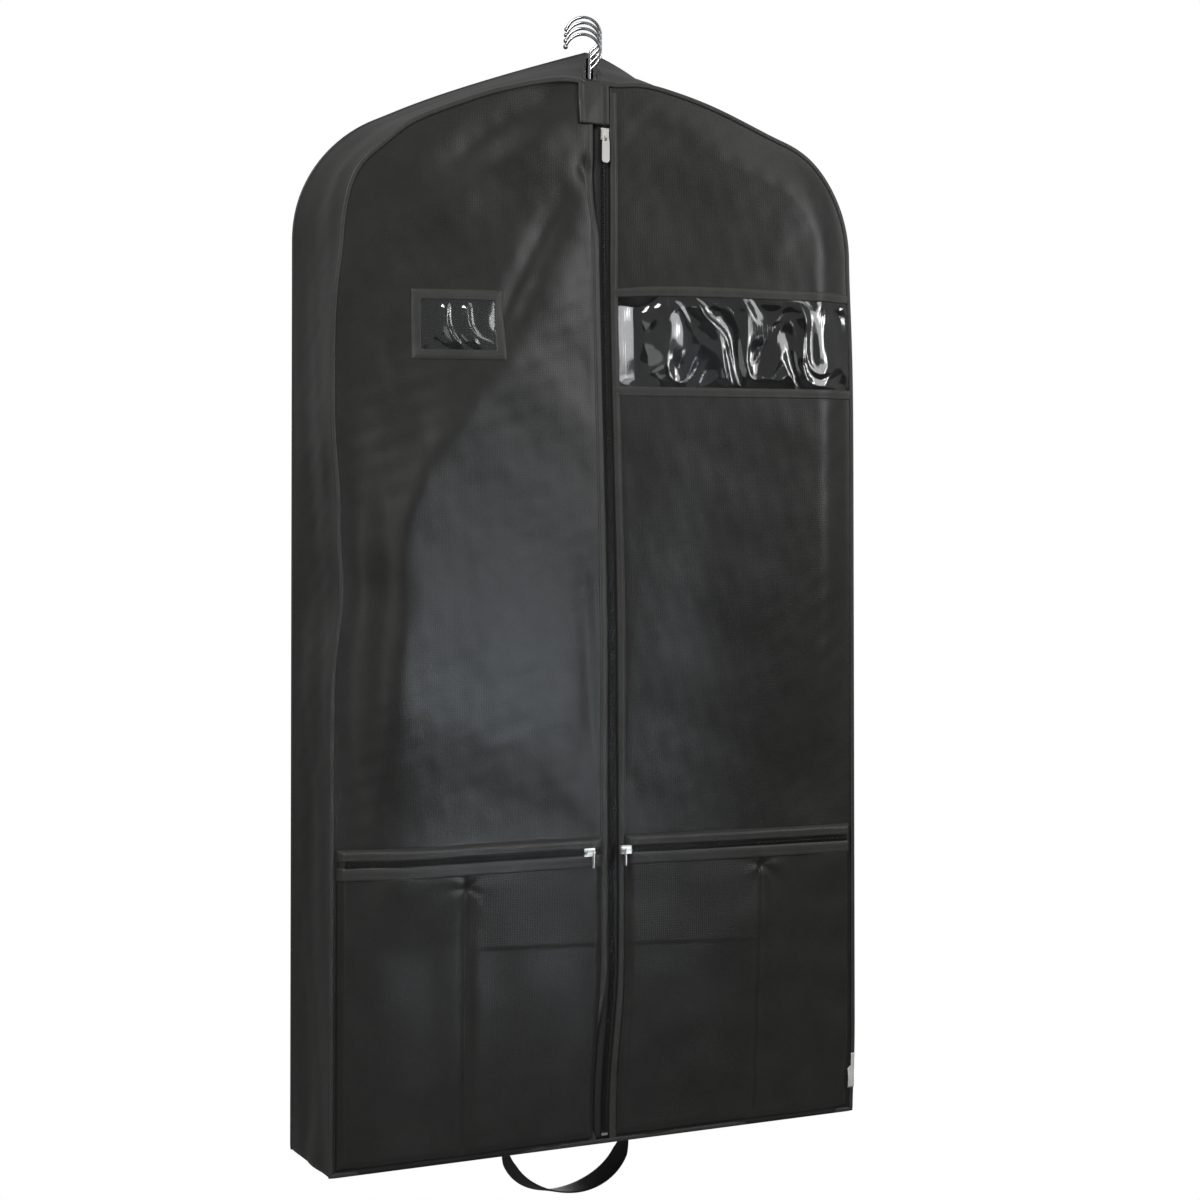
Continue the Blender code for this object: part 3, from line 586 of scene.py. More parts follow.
side_steps = np.concatenate([RIM_STEPS, np.linspace(1.935, 2.0, 24)])
side_steps = np.unique(np.round(side_steps, 5))
depth_steps = steps(34).T
left_rows = gusset_point(side_steps[:, None], -1, depth_steps)
right_rows = gusset_point(side_steps[::-1][1:, None], 1, depth_steps)
rows = np.concatenate([left_rows, right_rows])
cut = stacked(distances(rows[:, 0])[:, None], DEPTH * depth_steps)
gusset = grid_mesh("gusset", rows, cut, CLOTH)
work = bmesh.new()
work.from_mesh(gusset.data)
hole = []
for face in work.faces:
    centre = face.calc_center_median()
    lengthwise, crosswise = slot_place(centre.x, centre.y)
    if centre.z > START and abs(lengthwise) < SLOT_HALF_LONG and abs(crosswise) < SLOT_HALF_WIDE:
        hole.append(face)
bmesh.ops.delete(work, geom=hole, context="FACES")
work.to_mesh(gusset.data)
work.free()
give_thickness(gusset)
across_fold(gusset)
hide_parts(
    "gusset_left_upper", "gusset_left_lower", "gusset_right_upper",
    "gusset_right_lower", "gusset_top",
)

across_steps = steps(120, -1.0, 1.0)
left_x, right_x = (seam_shift(side * HALF_BOTTOM, BOTTOM, side, depth_steps)[0] for side in (-1, 1))
foot_x = across_steps * (HALF_BOTTOM + np.where(across_steps > 0, right_x, -left_x))
sag = 0.0030 * np.sin(pi * depth_steps) * (1 - across_steps**2)
foot = stacked(foot_x, FRONT + DEPTH * depth_steps, BOTTOM - sag)
under = grid_mesh("gusset_under", foot, foot[..., :2], CLOTH, flip=True)
give_thickness(under)
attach(under, "lower")
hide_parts("gusset_bottom")


# --- Back panel -------------------------------------------------------------------
# One plain piece of cloth, hanging in long shallow folds between the seams.
def back_point(x, z, side):
    """Point of the hanging back from its place in the flat cut."""
    height = z - BOTTOM
    calm = ease(inset(x, z) / 0.05)
    out = 0.0030 * np.cos(x * 2 * pi / 0.21 + 0.6) * (1 - 0.5 * ease(height - 0.3))
    out = out + wander(x, z * 0.35, 31, 0.10, 0.0016) + wander(x, z, 33, 0.035, 0.0002)
    shift_x, shift_z = seam_shift(x, z, side, 1.0)
    return stacked(x + shift_x, BACK + calm * out * 0.8, z + shift_z)


def back_cut(side):
    """Half the back's flat cut: level rows, then lines up to the shoulder outline."""
    u = steps(70).T
    z = np.linspace(BOTTOM, START, 200)[:-1, None]
    v = steps(56)
    top_x, top_z = shoulder_line(u)
    x = np.concatenate([u * half_wide(z), (1 - v) * u * half_wide(START) + v * top_x])
    z = np.concatenate([z + 0 * u, (1 - v) * START + v * top_z])
    return side * x, z


halves = []
for side in (-1, 1):
    x, z = back_cut(side)
    halves.append((back_point(x, z, side), stacked(x, z)))
rows, cut = (np.concatenate([left[:, ::-1], right[:, 1:]], 1) for left, right in zip(*halves))
back = grid_mesh("back_panel", rows, cut, CLOTH, flip=True)
give_thickness(back)
across_fold(back)
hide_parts("back_panel_upper", "back_panel_lower")


# --- Edge binding -----------------------------------------------------------------
# A folded strip of the same cloth sewn over the raw edges where each panel meets the
# gusset, so the seam stands up as a thin rounded ridge all round the front and the back.
# Its colours are lighter than the cloth's own: a painted highlight along the ridges, on top
# of the real light that their rounded shape catches.
# A lighter copy of the cloth: painted highlight on every hem, band, frame and flap made of it.
BINDING = nonwoven("nonwoven_binding_painted_highlight", "#333332", "#3e3e3d", 0.30, 0.46)


def oval(half_across, half_high, count=10, middle=(0.0, 0.0), power=0.7):
    """Closed profile: cosine and sine raised to a power, which squares an ellipse."""
    angle = np.arange(count) * 2 * pi / count
    level, rise = (np.sign(wave) * np.abs(wave) ** power for wave in (np.cos(angle), np.sin(angle)))
    return stacked(middle[0] + half_across * level, middle[1] + half_high * rise)


TOUCHING = 1e-7  # points this near are one point


def close_up(mesh, gap=None, capped=False):
    """Merge points nearer than the gap, cap open ends if asked, and turn faces outwards."""
    work = bmesh.new()
    work.from_mesh(mesh)
    if gap:
        bmesh.ops.remove_doubles(work, verts=work.verts, dist=gap)
    if capped:
        rims = [edge for edge in work.edges if edge.is_boundary]
        bmesh.ops.holes_fill(work, edges=rims, sides=64)
    bmesh.ops.recalc_face_normals(work, faces=work.faces)
    work.to_mesh(mesh)
    work.free()


def sweep(name, path, across, up, profile, material, ring=False):
    """Profile carried along a path: path + across * a + up * b for each profile point.

    Its ends are closed with a flat cap unless the path is a ring.
    """
    points = path[:, None] + across[:, None] * profile[None, :, :1]
    points = points + up[:, None] * profile[None, :, 1:]
    cut = stacked(distances(path)[:, None], np.arange(len(profile))[None, :] * 0.0012)
    if ring:
        points = np.concatenate([points, points[:1]])
        cut = np.concatenate([cut, cut[-1:] + [[0.004, 0.0]]])
    piece = grid_mesh(name, points, cut, material, closed=True)
    close_up(piece.data, TOUCHING if ring else None, capped=not ring)
    return piece


def outline_ring(depth):
    """The whole outline as a ring: path points and their outward directions."""
    t = RIM_STEPS
    foot = np.linspace(1.0, -1.0, 118)[1:-1]
    zero = np.zeros_like(t)
    sides = {}
    for side in (-1, 1):
        out_x, out_z = rim_out(t, side)
        level = np.where(t < 1.0, 0.0, out_z)
        direction = np.stack([np.where(t < 1.0, side, out_x), zero, level], axis=-1)
        sides[side] = (rim_point(t, side, np.full_like(t, depth)), direction)
    right_end, left_end = sides[1][0][0], sides[-1][0][0]
    share = (foot[:, None] + 1) / 2
    bottom = left_end + (right_end - left_end) * share
    down = np.tile([[0.0, 0.0, -1.0]], (len(foot), 1))
    path = np.concatenate([sides[-1][0], sides[1][0][::-1][1:], bottom])
    out = np.concatenate([sides[-1][1], sides[1][1][::-1][1:], down])
    for corner, x in ((0, -1), (len(t) * 2 - 2, 1)):
        out[corner] = np.array([x, 0, -1]) / 2**0.5
    return path, out


for word, depth, facing in (("front", 0.0, -1.0), ("back", 1.0, 1.0)):
    path, out = outline_ring(depth)
    face = np.tile([[0.0, facing, 0.0]], (len(path), 1))
    tape = sweep(
        f"edge_tape_{word}", path, -out, face,
        oval(0.0025, 0.0013, middle=(0.0009, 0.0005)), BINDING, ring=True,
    )
    across_fold(tape)
    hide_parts(f"edge_tape_{word}_upper", f"edge_tape_{word}_lower")


# --- Binding of the slot ----------------------------------------------------------
# Tape folded over the cut edge of the slot and sewn flat to the roof round it.
def roof_height(x, y):
    """Height of the roof over a plan point, found by undoing the outline's shift."""
    depth = (y - FRONT) / DEPTH
    plan = x
    for _ in range(5):
        level = PEAK - np.abs(plan) * tan(SLOPE)
        shift_x, shift_z = seam_shift(plan, level, np.where(plan < 0, -1, 1), depth)
        plan = x - shift_x
    return level + shift_z


def slot_ring(count, half_long, half_across):
    """Ring round the slot, as (along, across): two straight sides with rounded ends."""
    angle = np.arange(count) * 2 * pi / count + pi / count
    across, along = np.cos(angle), np.sin(angle)
    straight = half_long - half_across
    stretched = along * half_long * 1.25
    reach = np.clip(stretched, -straight, straight)
    end = np.sign(along) * np.maximum(np.abs(stretched) - straight, 0.0)
    fullness = np.sqrt(np.clip(1 - (end / (0.25 * half_long + half_across)) ** 2, 0.0, 1.0))
    side = np.sign(across) * half_across * fullness
    tip = np.sign(along) * half_across * np.sqrt(np.clip(1 - (side / half_across) ** 2, 0, 1))
    return reach + tip, side


BIND_WIDE, BIND_HIGH = 0.0046, 0.0007
ring_along, ring_across = slot_ring(120, SLOT_HALF_LONG, SLOT_HALF_WIDE - 0.0012)
profile_out = steps(9).T
widen = BIND_WIDE * profile_out
side_push = ring_across / (np.hypot(ring_across, ring_along * SLOT_HALF_WIDE / SLOT_HALF_LONG) + 1e-9)
END_LONG = 0.006
past = np.clip((np.abs(ring_along) - SLOT_HALF_LONG + END_LONG) / END_LONG, 0, 1)
end_push = np.sign(ring_along) * past
off_along = ring_along[:, None] + end_push[:, None] * widen
off_across = ring_across[:, None] + side_push[:, None] * widen
bind_x = SLOT_MIDDLE[0] + off_along * sin(RAIL_TURN) + off_across * cos(RAIL_TURN)
bind_y = SLOT_MIDDLE[1] + off_along * cos(RAIL_TURN) - off_across * sin(RAIL_TURN)
bind_y = np.clip(bind_y, FRONT + 0.001, BACK - 0.001)
crown = BIND_HIGH * (1 - np.abs(2 * profile_out - 1) ** 4) + 0.0002
points = stacked(bind_x, bind_y, roof_height(bind_x, bind_y) + crown)
points = np.concatenate([points, points[:1]])
cut = stacked(np.arange(len(points))[:, None] * 0.0017, widen)
slot_tape = grid_mesh("slot_tape", points, cut, BINDING)
close_up(slot_tape.data, 10 * TOUCHING)
if slot_tape.data.polygons[0].normal.z < 0:
    slot_tape.data.flip_normals()
give_thickness(slot_tape, 0.0005)
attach(slot_tape, "upper")
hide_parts("slot_binding")


# --- Hems along the main zip ------------------------------------------------------
# Each panel's edge is turned under and topstitched 7 mm from the fold, which leaves a
# slightly thicker, smoother band that catches the light beside the zip's dark recess.
# The band is drawn in the lighter binding colour, which adds a painted highlight.
HEM_WIDE = 0.0090


HEM_HIGH = 0.0011


def zip_hem(name, side, wide):
    """Raised band beside the zip: flat across with a rounded fold and a stitch groove."""
    z = steps(330, BOTTOM + 0.003, PEAK - 0.012)
    s = wide * np.array([-0.03, 0.0, 0.06, 0.16, 0.35, 0.55, 0.72, 0.79, 0.86, 0.94, 1.0])
    share = s / wide
    body = HEM_HIGH * (1 - np.abs(2 * np.clip(share, 0, 1) - 1) ** 7)
    body = body * (1 - 0.55 * bump(share, 0.79, 0.06)) - 0.0002
    body[0] = -0.0009
    x = side * (zip_gap(z, side) + s[None, :])
    points = front_point(x, z + 0 * x, side, body[None, :])
    piece = grid_mesh(name, points, stacked(x, z), BINDING, side < 0)
    across_fold(piece)
    return piece


hem_left = zip_hem("zip_hem_left", -1, HEM_WIDE)
hem_right = zip_hem("zip_hem_right", 1, HEM_WIDE * 0.9)


# --- Main zip ---------------------------------------------------------------------
# Number 5 coil zip: two woven polyester tapes sewn behind the hems, and on the edge of
# each a nylon coil whose loops lock between the other's. The chain is closed all the way.
def ribbed(name, dark, rib, direction, roughness=0.62):
    """Woven tape: bands of a sine wave in the piece's own cut, rib metres from one to the next.

    The wave node turns through 20 radians a unit at scale 1, so the ribs are 0.99 rib apart.
    """
    made = new_material(name, dark, roughness, Sheen_Weight=0.10, Sheen_Roughness=0.4)
    tree = made.node_tree
    cut = add_node(tree, "ShaderNodeUVMap", {"uv_map": "cut"}).outputs[0]
    ribs = add_node(
        tree, "ShaderNodeTexWave", {"wave_type": "BANDS", "bands_direction": direction},
        Vector=cut, Scale=1.0 / (rib * 2 * pi) * 2.0, Distortion=0.4, Detail=1.0,
    )
    relief = add_node(
        tree, "ShaderNodeBump", Strength=0.6, Distance=0.0003, Height=ribs.outputs["Fac"]
    )
    shader = tree.nodes["Principled BSDF"]
    tree.links.new(relief.outputs["Normal"], shader.inputs["Normal"])
    return made


ZIP_TAPE = ribbed("woven_polyester_tape", "#181818", 0.0012, "Y")
TAPE_BEHIND, TAPE_THICK = 0.0017, 0.0004
SIDES = ((-1, "left"), (1, "right"))
for side, word in SIDES:
    z = steps(300, BOTTOM + 0.0022, PEAK - 0.014)
    outer = np.maximum(0.016, zip_gap(z, side) + 0.005) if side < 0 else 0.016 + 0 * z
    x = side * (0.0003 + (outer - 0.0003) * steps(8).T)
    deep = FRONT + TAPE_BEHIND + 0.0034 * ease((np.abs(x) - 0.0075) / 0.006)
    points = stacked(x + zip_line(z), deep, z)
    tape = grid_mesh(f"zip_tape_{word}", points, stacked(x, z), ZIP_TAPE, side < 0)
    give_thickness(tape, TAPE_THICK)
    across_fold(tape)
    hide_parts(f"zip_tape_{word}_upper", f"zip_tape_{word}_lower")

COIL_BAR_RUN, COIL_BAR_OUT = 0.00072, 0.00066  # half the bar along the chain and out from it
COIL_PITCH = 0.0020  # loops of a number 5 coil are about 1.4 mm apart, too fine to show
NYLON = new_material("nylon_coil", "#141414", 0.38, Specular_IOR_Level=0.5)


def coil_row(places, run, across, out, side):
    """Loops of one coil: a six-sided bar across the chain at each place, as one array."""
    angle = np.arange(6) * 2 * pi / 6
    ring = stacked(np.cos(angle) * COIL_BAR_RUN, np.sin(angle) * COIL_BAR_OUT)
    loop = []
    for reach, share in ((-0.0005, 0.65), (0.0002, 1.0), (0.0029, 1.0)):
        loop.append(across * side * reach + run * ring[:, :1] * share + out * ring[:, 1:] * share)
    loop = np.concatenate(loop)
    points = (places[:, None] + loop[None]).reshape(-1, 3)
    near = np.arange(6)
    after = (near + 1) % 6
    quads = stacked(near, after, after + 6, near + 6)
    ends = np.array([[5, 4, 3, 2], [5, 2, 1, 0], [12, 13, 14, 15], [12, 15, 16, 17]])
    faces = np.concatenate([quads, quads + 6, ends])
    faces = (faces[None] + 18 * np.arange(len(places))[:, None, None]).reshape(-1, 4)
    return points, faces


def coil_mesh(name, middle, run, across, out):
    """Both coils of a chain whose loops alternate along the middle line."""
    points, faces, base = [], [], 0
    for side, places in ((-1, middle[::2]), (1, middle[1::2])):
        row_points, row_faces = coil_row(places, run, across, out, side)
        points.append(row_points)
        faces.append(row_faces + base)
        base += len(row_points)
    mesh = bpy.data.meshes.new(name)
    mesh.from_pydata(np.concatenate(points).tolist(), [], np.concatenate(faces).tolist())
    mesh.materials.append(NYLON)
    close_up(mesh)
    piece = bpy.data.objects.new(name, mesh)
    scene.collection.objects.link(piece)
    return piece


AXES = np.eye(3)
z = np.arange(BOTTOM + 0.006, PEAK - 0.016, COIL_PITCH / 2)
middle = stacked(zip_line(z), FRONT + 0.0008, z)
chain = coil_mesh("zip_coil", middle, AXES[2], AXES[0], -AXES[1])
across_fold(chain)
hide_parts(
    "zip_chain_left_upper", "zip_chain_left_lower", "zip_chain_right_upper",
    "zip_chain_right_lower",
)


# --- Zip guard --------------------------------------------------------------------
# A short double flap over the top of the zip, turned in at both sides. The slider parks
# just below it.
GUARD_LEFT, GUARD_RIGHT = -0.0295, 0.0050
GUARD_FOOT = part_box("zip_guard")[0].z
s = steps(25).T
v = steps(20)
x = GUARD_LEFT + (GUARD_RIGHT - GUARD_LEFT) * s + 0.001 * (1 - v) * (s - 0.5)
top = PEAK - np.abs(x) * tan(SLOPE) - 0.001
z = GUARD_FOOT + (top - GUARD_FOOT) * v
wide = GUARD_RIGHT - GUARD_LEFT
lift = 0.0017 + 0.0006 * (bump(s, 0.09, 0.05) + bump(s, 0.91, 0.05))
lift = lift - 0.0004 * (bump(s, 0.20, 0.025) + bump(s, 0.80, 0.025))
edge = np.minimum(np.minimum(s, 1 - s) * wide, v * 0.05)
lift = lift * ease((edge + 0.0012) / 0.0016) + 0.0008 * bump(v, 0.5, 0.3) * bump(s, 0.5, 0.3)
points = front_point(x, z, -1, lift)
points[..., 1] = np.minimum(points[..., 1], FRONT - lift)
points[..., 2] = GUARD_FOOT + (points[-1:, :, 2] - GUARD_FOOT) * v
guard = grid_mesh("zip_guard_flap", points, stacked(x, z), BINDING)
give_thickness(guard, 0.0008)
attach(guard, "upper")
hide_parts("zip_guard")


# --- Windows ----------------------------------------------------------------------
# Thin soft vinyl, clear and very glossy. It has been folded in its packing, so it is
# crumpled into upright creases that each throw back a streak of the lamps.
FILM = new_material(
    "clear_vinyl_film", "#c9ccd0", 0.11, IOR=1.52, Transmission_Weight=1.0,
    Specular_IOR_Level=0.9, Coat_Weight=0.5, Coat_Roughness=0.05, Coat_IOR=1.6,
)


def crease(phase):
    """Sharp-topped wave: one minus the rounded size of a sine."""
    return 1.0 - np.sqrt(np.sin(phase) ** 2 + 0.012)


def crumple(x, z, seed, size):
    """Crumpled film: long upright creases bent by slow waves, and finer ones in patches."""
    bend = wander(x, z, seed, 0.10, 0.014) + 0.35 * (z - z.mean())
    patch = ease(0.5 + wander(x, z, seed + 2, 0.07, 0.8))
    total = 0.0042 * crease((x + bend) * pi / (0.058 * size))
    total = total + 0.0016 * crease((x * 0.9 + z * 0.35 + 1.5 * bend) * pi / (0.037 * size))
    total = total + 0.0008 * patch * crease((x * 0.7 - z * 0.6 - bend) * pi / (0.024 * size))
    return total + wander(x, z * 0.4, seed + 1, 0.020 * size, 0.00022)


FILM_THICK, FILM_START = 0.0003, 0.0068
UNDER_HEM = 0.004
z = steps(80, WINDOW_LOW - UNDER_HEM, WINDOW_HIGH + UNDER_HEM)
u = steps(230).T
x = FILM_START + (half_wide(z) - 0.0015 - FILM_START) * u
held = np.minimum(z - WINDOW_LOW, WINDOW_HIGH - z)
held = ease((np.minimum(held, 0.9 * (half_wide(z) - x)) + 0.001) / 0.014)
roll = np.clip((x - 0.008) / 0.026, 0.0, 1.0)
# Its left end is rolled back: a sunken strip with fine upright ribs.
left_roll = -0.0060 * roll * (1 - ease((x - 0.040) / 0.030))
left_roll = left_roll + 0.00007 * np.sin(x * 2 * pi / 0.0031)
far = ease((x - 0.034) / 0.020)
out = held * (far * crumple(x, z, 41, 1.0) + left_roll) - 0.0004
film = grid_mesh("window_vinyl", front_point(x, z + 0 * x, 1, out), stacked(x, z), FILM)
give_thickness(film, FILM_THICK)
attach(film, "upper")
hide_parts("window_film")


LEVEL_HEM_START = 0.0062


def level_hem(name, low, high, replaced):
    """Band sewn across the front between two heights, rounded at its long edges."""
    v = np.array([0.0, 0.04, 0.12, 0.24, 0.5, 0.76, 0.88, 0.96, 1.0])[:, None]
    z = low + (high - low) * v
    u = steps(110).T
    x = LEVEL_HEM_START + (half_wide(z) - 0.001 - LEVEL_HEM_START) * u
    lift = HEM_HIGH * (1 - np.abs(2 * v - 1) ** 6) * (1 - 0.4 * bump(v, 0.24, 0.07)) - 0.0001
    piece = grid_mesh(name, front_point(x, z + 0 * x, 1, lift), stacked(x, z), BINDING)
    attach(piece, "upper")
    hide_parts(replaced)


level_hem("window_hem_low", WINDOW_LOW - 0.0080, WINDOW_LOW + 0.0025, "window_hem_lower")
level_hem("window_hem_high", WINDOW_HIGH - 0.0025, WINDOW_HIGH + 0.0080, "window_hem_upper")

card_low, card_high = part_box("card_frame")
hole_low, hole_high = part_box("card_film")
square = edge = stacked(np.linspace(-1.0, 1.0, 40), -1.0)
for _ in range(3):  # each edge is the last one turned by a right angle
    edge = stacked(-edge[:, 1], edge[:, 0])
    square = np.concatenate([square, edge[1:]])
share = np.array([0.0, 0.05, 0.15, 0.25, 0.5, 0.8, 0.88, 0.95, 1.0])[None, :]
mid_x, mid_z = (card_low.x + card_high.x) / 2, (card_low.z + card_high.z) / 2
outer_x, outer_z = (card_high.x - card_low.x) / 2, (card_high.z - card_low.z) / 2
inner_x, inner_z = (hole_high.x - hole_low.x) / 2, (hole_high.z - hole_low.z) / 2
x = mid_x + square[:, :1] * (inner_x + (outer_x - inner_x) * share)
z = mid_z + square[:, 1:] * (inner_z + (outer_z - inner_z) * share)
lift = 0.0013 * (1 - np.abs(2 * share - 1) ** 8) * (1 - 0.35 * bump(share, 0.86, 0.05)) - 0.0001
lift = lift + 0.0005 * bump(share, 0.03, 0.08)
points = front_point(x, z, -1, lift)
card_frame = grid_mesh("card_pocket_frame", points, stacked(x, z), BINDING, flip=True)
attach(card_frame, "upper")
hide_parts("card_frame")

x = steps(90, hole_low.x - 0.001, hole_high.x + 0.001).T
z = steps(60, hole_low.z - 0.001, hole_high.z + 0.001)
held = np.minimum(
    np.minimum(x - hole_low.x, hole_high.x - x), np.minimum(z - hole_low.z, hole_high.z - z)
)
out = 0.0010 + ease((held + 0.001) / 0.010) * 0.65 * crumple(x + 0 * z, z + 0 * x, 55, 0.62)
x, z = np.broadcast_arrays(x, z)
card = grid_mesh("card_vinyl", front_point(x, z, -1, out), stacked(x, z), FILM)
give_thickness(card, FILM_THICK)
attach(card, "upper")
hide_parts("card_film")


# --- Pockets ----------------------------------------------------------------------
# A wide pocket each side of the zip, of the same cloth, sewn down at its sides and foot
# and once from top to bottom, which puckers it at the head of that seam. The cloth is
# doubled above a nearly level line, where the bonding shows more.
POCKET_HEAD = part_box("pocket_left")[1].z
POCKET_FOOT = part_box("pocket_left")[0].z
POCKET_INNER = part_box("pocket_right")[0].x
POCKET_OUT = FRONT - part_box("pocket_left")[0].y
POCKET_SIDE = 0.006
ZIP_LEVEL = (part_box("pocket_slider_left")[0].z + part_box("pocket_slider_left")[1].z) / 2
PUCKER = {-1: (-0.1585, -0.1600), 1: (0.1835, 0.1770)}
NET = nonwoven("nonwoven_doubled", "#262625", "#313130", 0.55, 0.41)


def pocket_edges(x, z):
    """Distances in from the pocket's inner edge, outer edge and foot."""
    across = np.abs(x)
    return across - POCKET_INNER, half_wide(z) - POCKET_SIDE - across, z - POCKET_FOOT


def pocket_point(x, z, side, lift, tuck=0.0):
    """Point over the front panel, whose shape shows through a share of its own size.

    The left ridge shows whole behind the pocket's head and by a third behind its foot and
    sides, the right one by a tenth. tuck 1 brings the point down onto the panel.
    """
    point = front_point(x, z, side)
    panel_y = point[..., 1]
    follow = 0.10
    if side < 0:
        middle = ease((half_wide(z) - np.abs(x) - 0.025) / 0.05)
        follow = 0.35 + 0.65 * ease((z - BOTTOM - 0.20) / 0.10) * middle
    over_y = FRONT - follow * RELIEF[side](x, z) - lift
    point[..., 1] = over_y * (1 - tuck) + (panel_y - 0.0004 - 0.0012 * (1 - tuck)) * tuck
    return point


def pocket_lift(x, z, side):
    """Swell of a pocket, drawn in along its seam and puckered at the seam's head.

    The pucker is a few spokes round the head, dying away in 30 mm.
    """
    inner = pocket_edges(x, z)[0]
    head_x, foot_x = PUCKER[side]
    up = np.clip((z - POCKET_FOOT) / (POCKET_HEAD - POCKET_FOOT), 0, 1)
    seam_x = foot_x + (head_x - foot_x) * up
    under = ease((POCKET_HEAD - 0.008 - z) / 0.012)
    swell = POCKET_OUT - 0.0006 + 0.0016 * np.sin(pi * np.clip(up, 0, 1)) * ease(inner / 0.05)
    swell = swell + 0.0012 * wander(x, z, 61 + side, 0.09, 0.55)
    groove = bump(x, seam_x, 0.0065) * 0.0030 + bump(x, seam_x, 0.0014) * 0.0018
    gather_x = x - head_x
    gather_z = z - (POCKET_HEAD - 0.016)
    away = np.hypot(gather_x, gather_z)
    turn = np.arctan2(gather_z, gather_x)
    spokes = 0.0017 * np.exp(-away / 0.016) * (1 - np.exp(-((away / 0.004) ** 2)))
    swell = swell + spokes * np.cos(5 * turn + 0.6 * side) * ease((POCKET_HEAD - z) / 0.006)
    dimple = 0.0028 * np.exp(-((away / 0.0065) ** 2))
    drape = 0.0010 * np.cos((x - seam_x) * 2 * pi / 0.085) * ease(up * 3) * (1 - up)
    return swell - groove * under - dimple + drape


def doubled_foot(x):
    """Height of the nearly level line below which the cloth is single."""
    return BOTTOM + 0.212 - 0.05 * x


for side, word in SIDES:
    z = steps(130, POCKET_FOOT, POCKET_HEAD)
    u = steps(150).T
    x = side * (POCKET_INNER + (half_wide(z) - POCKET_SIDE - POCKET_INNER) * u)
    z = z + 0 * x
    tuck = 1 - ease((np.minimum.reduce(pocket_edges(x, z)) + 0.0005) / 0.0095)
    level = -0.0008 * ease((doubled_foot(x) - z) / 0.0015)
    inside_line = ease((abs(PUCKER[side][0]) - 0.004 - np.abs(x)) / 0.030)
    lift = pocket_lift(x, z, side) + level * inside_line
    points = pocket_point(x, z, side, lift, tuck)
    pocket = grid_mesh(f"pocket_front_{word}", points, stacked(x, z), CLOTH, side < 0)
    doubled = ((z > doubled_foot(x)) & (inside_line > 0))[:-1, :-1]
    pocket.data.materials.append(NET)
    pocket.data.polygons.foreach_set("material_index", doubled.reshape(-1).astype(np.int32))
    give_thickness(pocket, 0.0005)
    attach(pocket, "lower")
    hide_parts(f"pocket_{word}", f"pocket_seam_{word}")


# --- Pocket zips ------------------------------------------------------------------
# The same zip laid level along the head of each pocket between two hems: the one above
# holds the tape to the panel, the one below is the pocket's own turned edge.
TILT = -0.015  # the pockets hang slightly lower on the right


def level_line(x):
    """How far the pocket zip's line is above its level: it tilts, but not beside the main zip."""
    return TILT * x * (1 - bump(np.abs(x), 0.02, 0.03))


def pocket_band(name, side, low, high, lift, material, top_tuck):
    """Band along the pocket's head between two heights, lifted to the pocket's face."""
    v = np.array([0.0, 0.05, 0.15, 0.27, 0.5, 0.73, 0.85, 0.95, 1.0])[:, None]
    u = steps(130).T
    z = low + (high - low) * v
    x = side * (POCKET_INNER + 0.0003 + (half_wide(z) - POCKET_SIDE - POCKET_INNER) * u)
    z = z + level_line(x)
    inner, outer, _ = pocket_edges(x, z)
    body = lift * (1 - 0.16 * np.abs(2 * v - 1) ** 6) - 0.0005 * bump(v, 0.27, 0.07)
    body = body + 0.0004 * np.sin(x * 2 * pi / 0.07) * (np.abs(x) > 0.04)
    tuck = 1 - ease((np.minimum(inner, outer) + 0.0008) / 0.007)
    if top_tuck:
        tuck = np.maximum(tuck, ease((v - 0.80) / 0.20))
    points = pocket_point(x, z, side, body, tuck)
    piece = grid_mesh(name, points, stacked(x, z), material, side < 0)
    give_thickness(piece, TAPE_THICK)
    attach(piece, "lower")
    return piece


# Each band: its foot and head over the zip's level, its lift over the pocket's face, its
# material and slot, its flat width, and the piece that it rests on.
BANDS = {
    "hem": (0.0030, 0.0145, 0.0012, BINDING, "bag_cloth", 0.0125, "front"),
    "tape": (-0.0085, 0.0085, -0.0001, ZIP_TAPE, "zip_tape", 0.017, "pocket_front"),
    "head": (-0.0165, -0.0030, 0.0010, BINDING, "bag_cloth", 0.0125, "pocket_front"),
}
for side, word in SIDES:
    for band, (low, high, lift, material, slot, wide, under) in BANDS.items():
        name = f"pocket_{band}_{word}"
        low, high, lift = ZIP_LEVEL + low, ZIP_LEVEL + high, POCKET_OUT + lift
        piece = pocket_band(name, side, low, high, lift, material, band == "hem")
        if band == "tape":
            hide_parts(f"pocket_zip_{word}_upper", f"pocket_zip_{word}_lower")
    x = side * np.arange(POCKET_INNER + 0.004, HALF_BOTTOM - POCKET_SIDE - 0.010, COIL_PITCH / 2)
    z = ZIP_LEVEL + level_line(x)
    middle = pocket_point(x, z, side, POCKET_OUT + 0.0004)
    coil = coil_mesh(f"pocket_coil_{word}", middle, AXES[0] * side, AXES[2], -AXES[1])
    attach(coil, "lower")


# --- Carrying handle --------------------------------------------------------------
# Black polypropylene webbing, folded narrow where it is sewn under the bag's bottom and
# twisted a little between its two ends as it hangs.
HANDLE_PIVOT = Vector((-0.008, 0.030, BOTTOM - 0.0055))
HANDLE_HALF, HANDLE_DROP = 0.072, 0.070
WEB_WIDE, WEB_END, WEB_THICK = 0.022, 0.0065, 0.0020
WEBBING = ribbed("polypropylene_webbing", "#111111", 0.0016, "X", roughness=0.58)


def unit_run(path):
    """Direction of a path at each of its points, of length one."""
    run = np.gradient(path, axis=0)
    return run / np.linalg.norm(run, axis=1, keepdims=True)


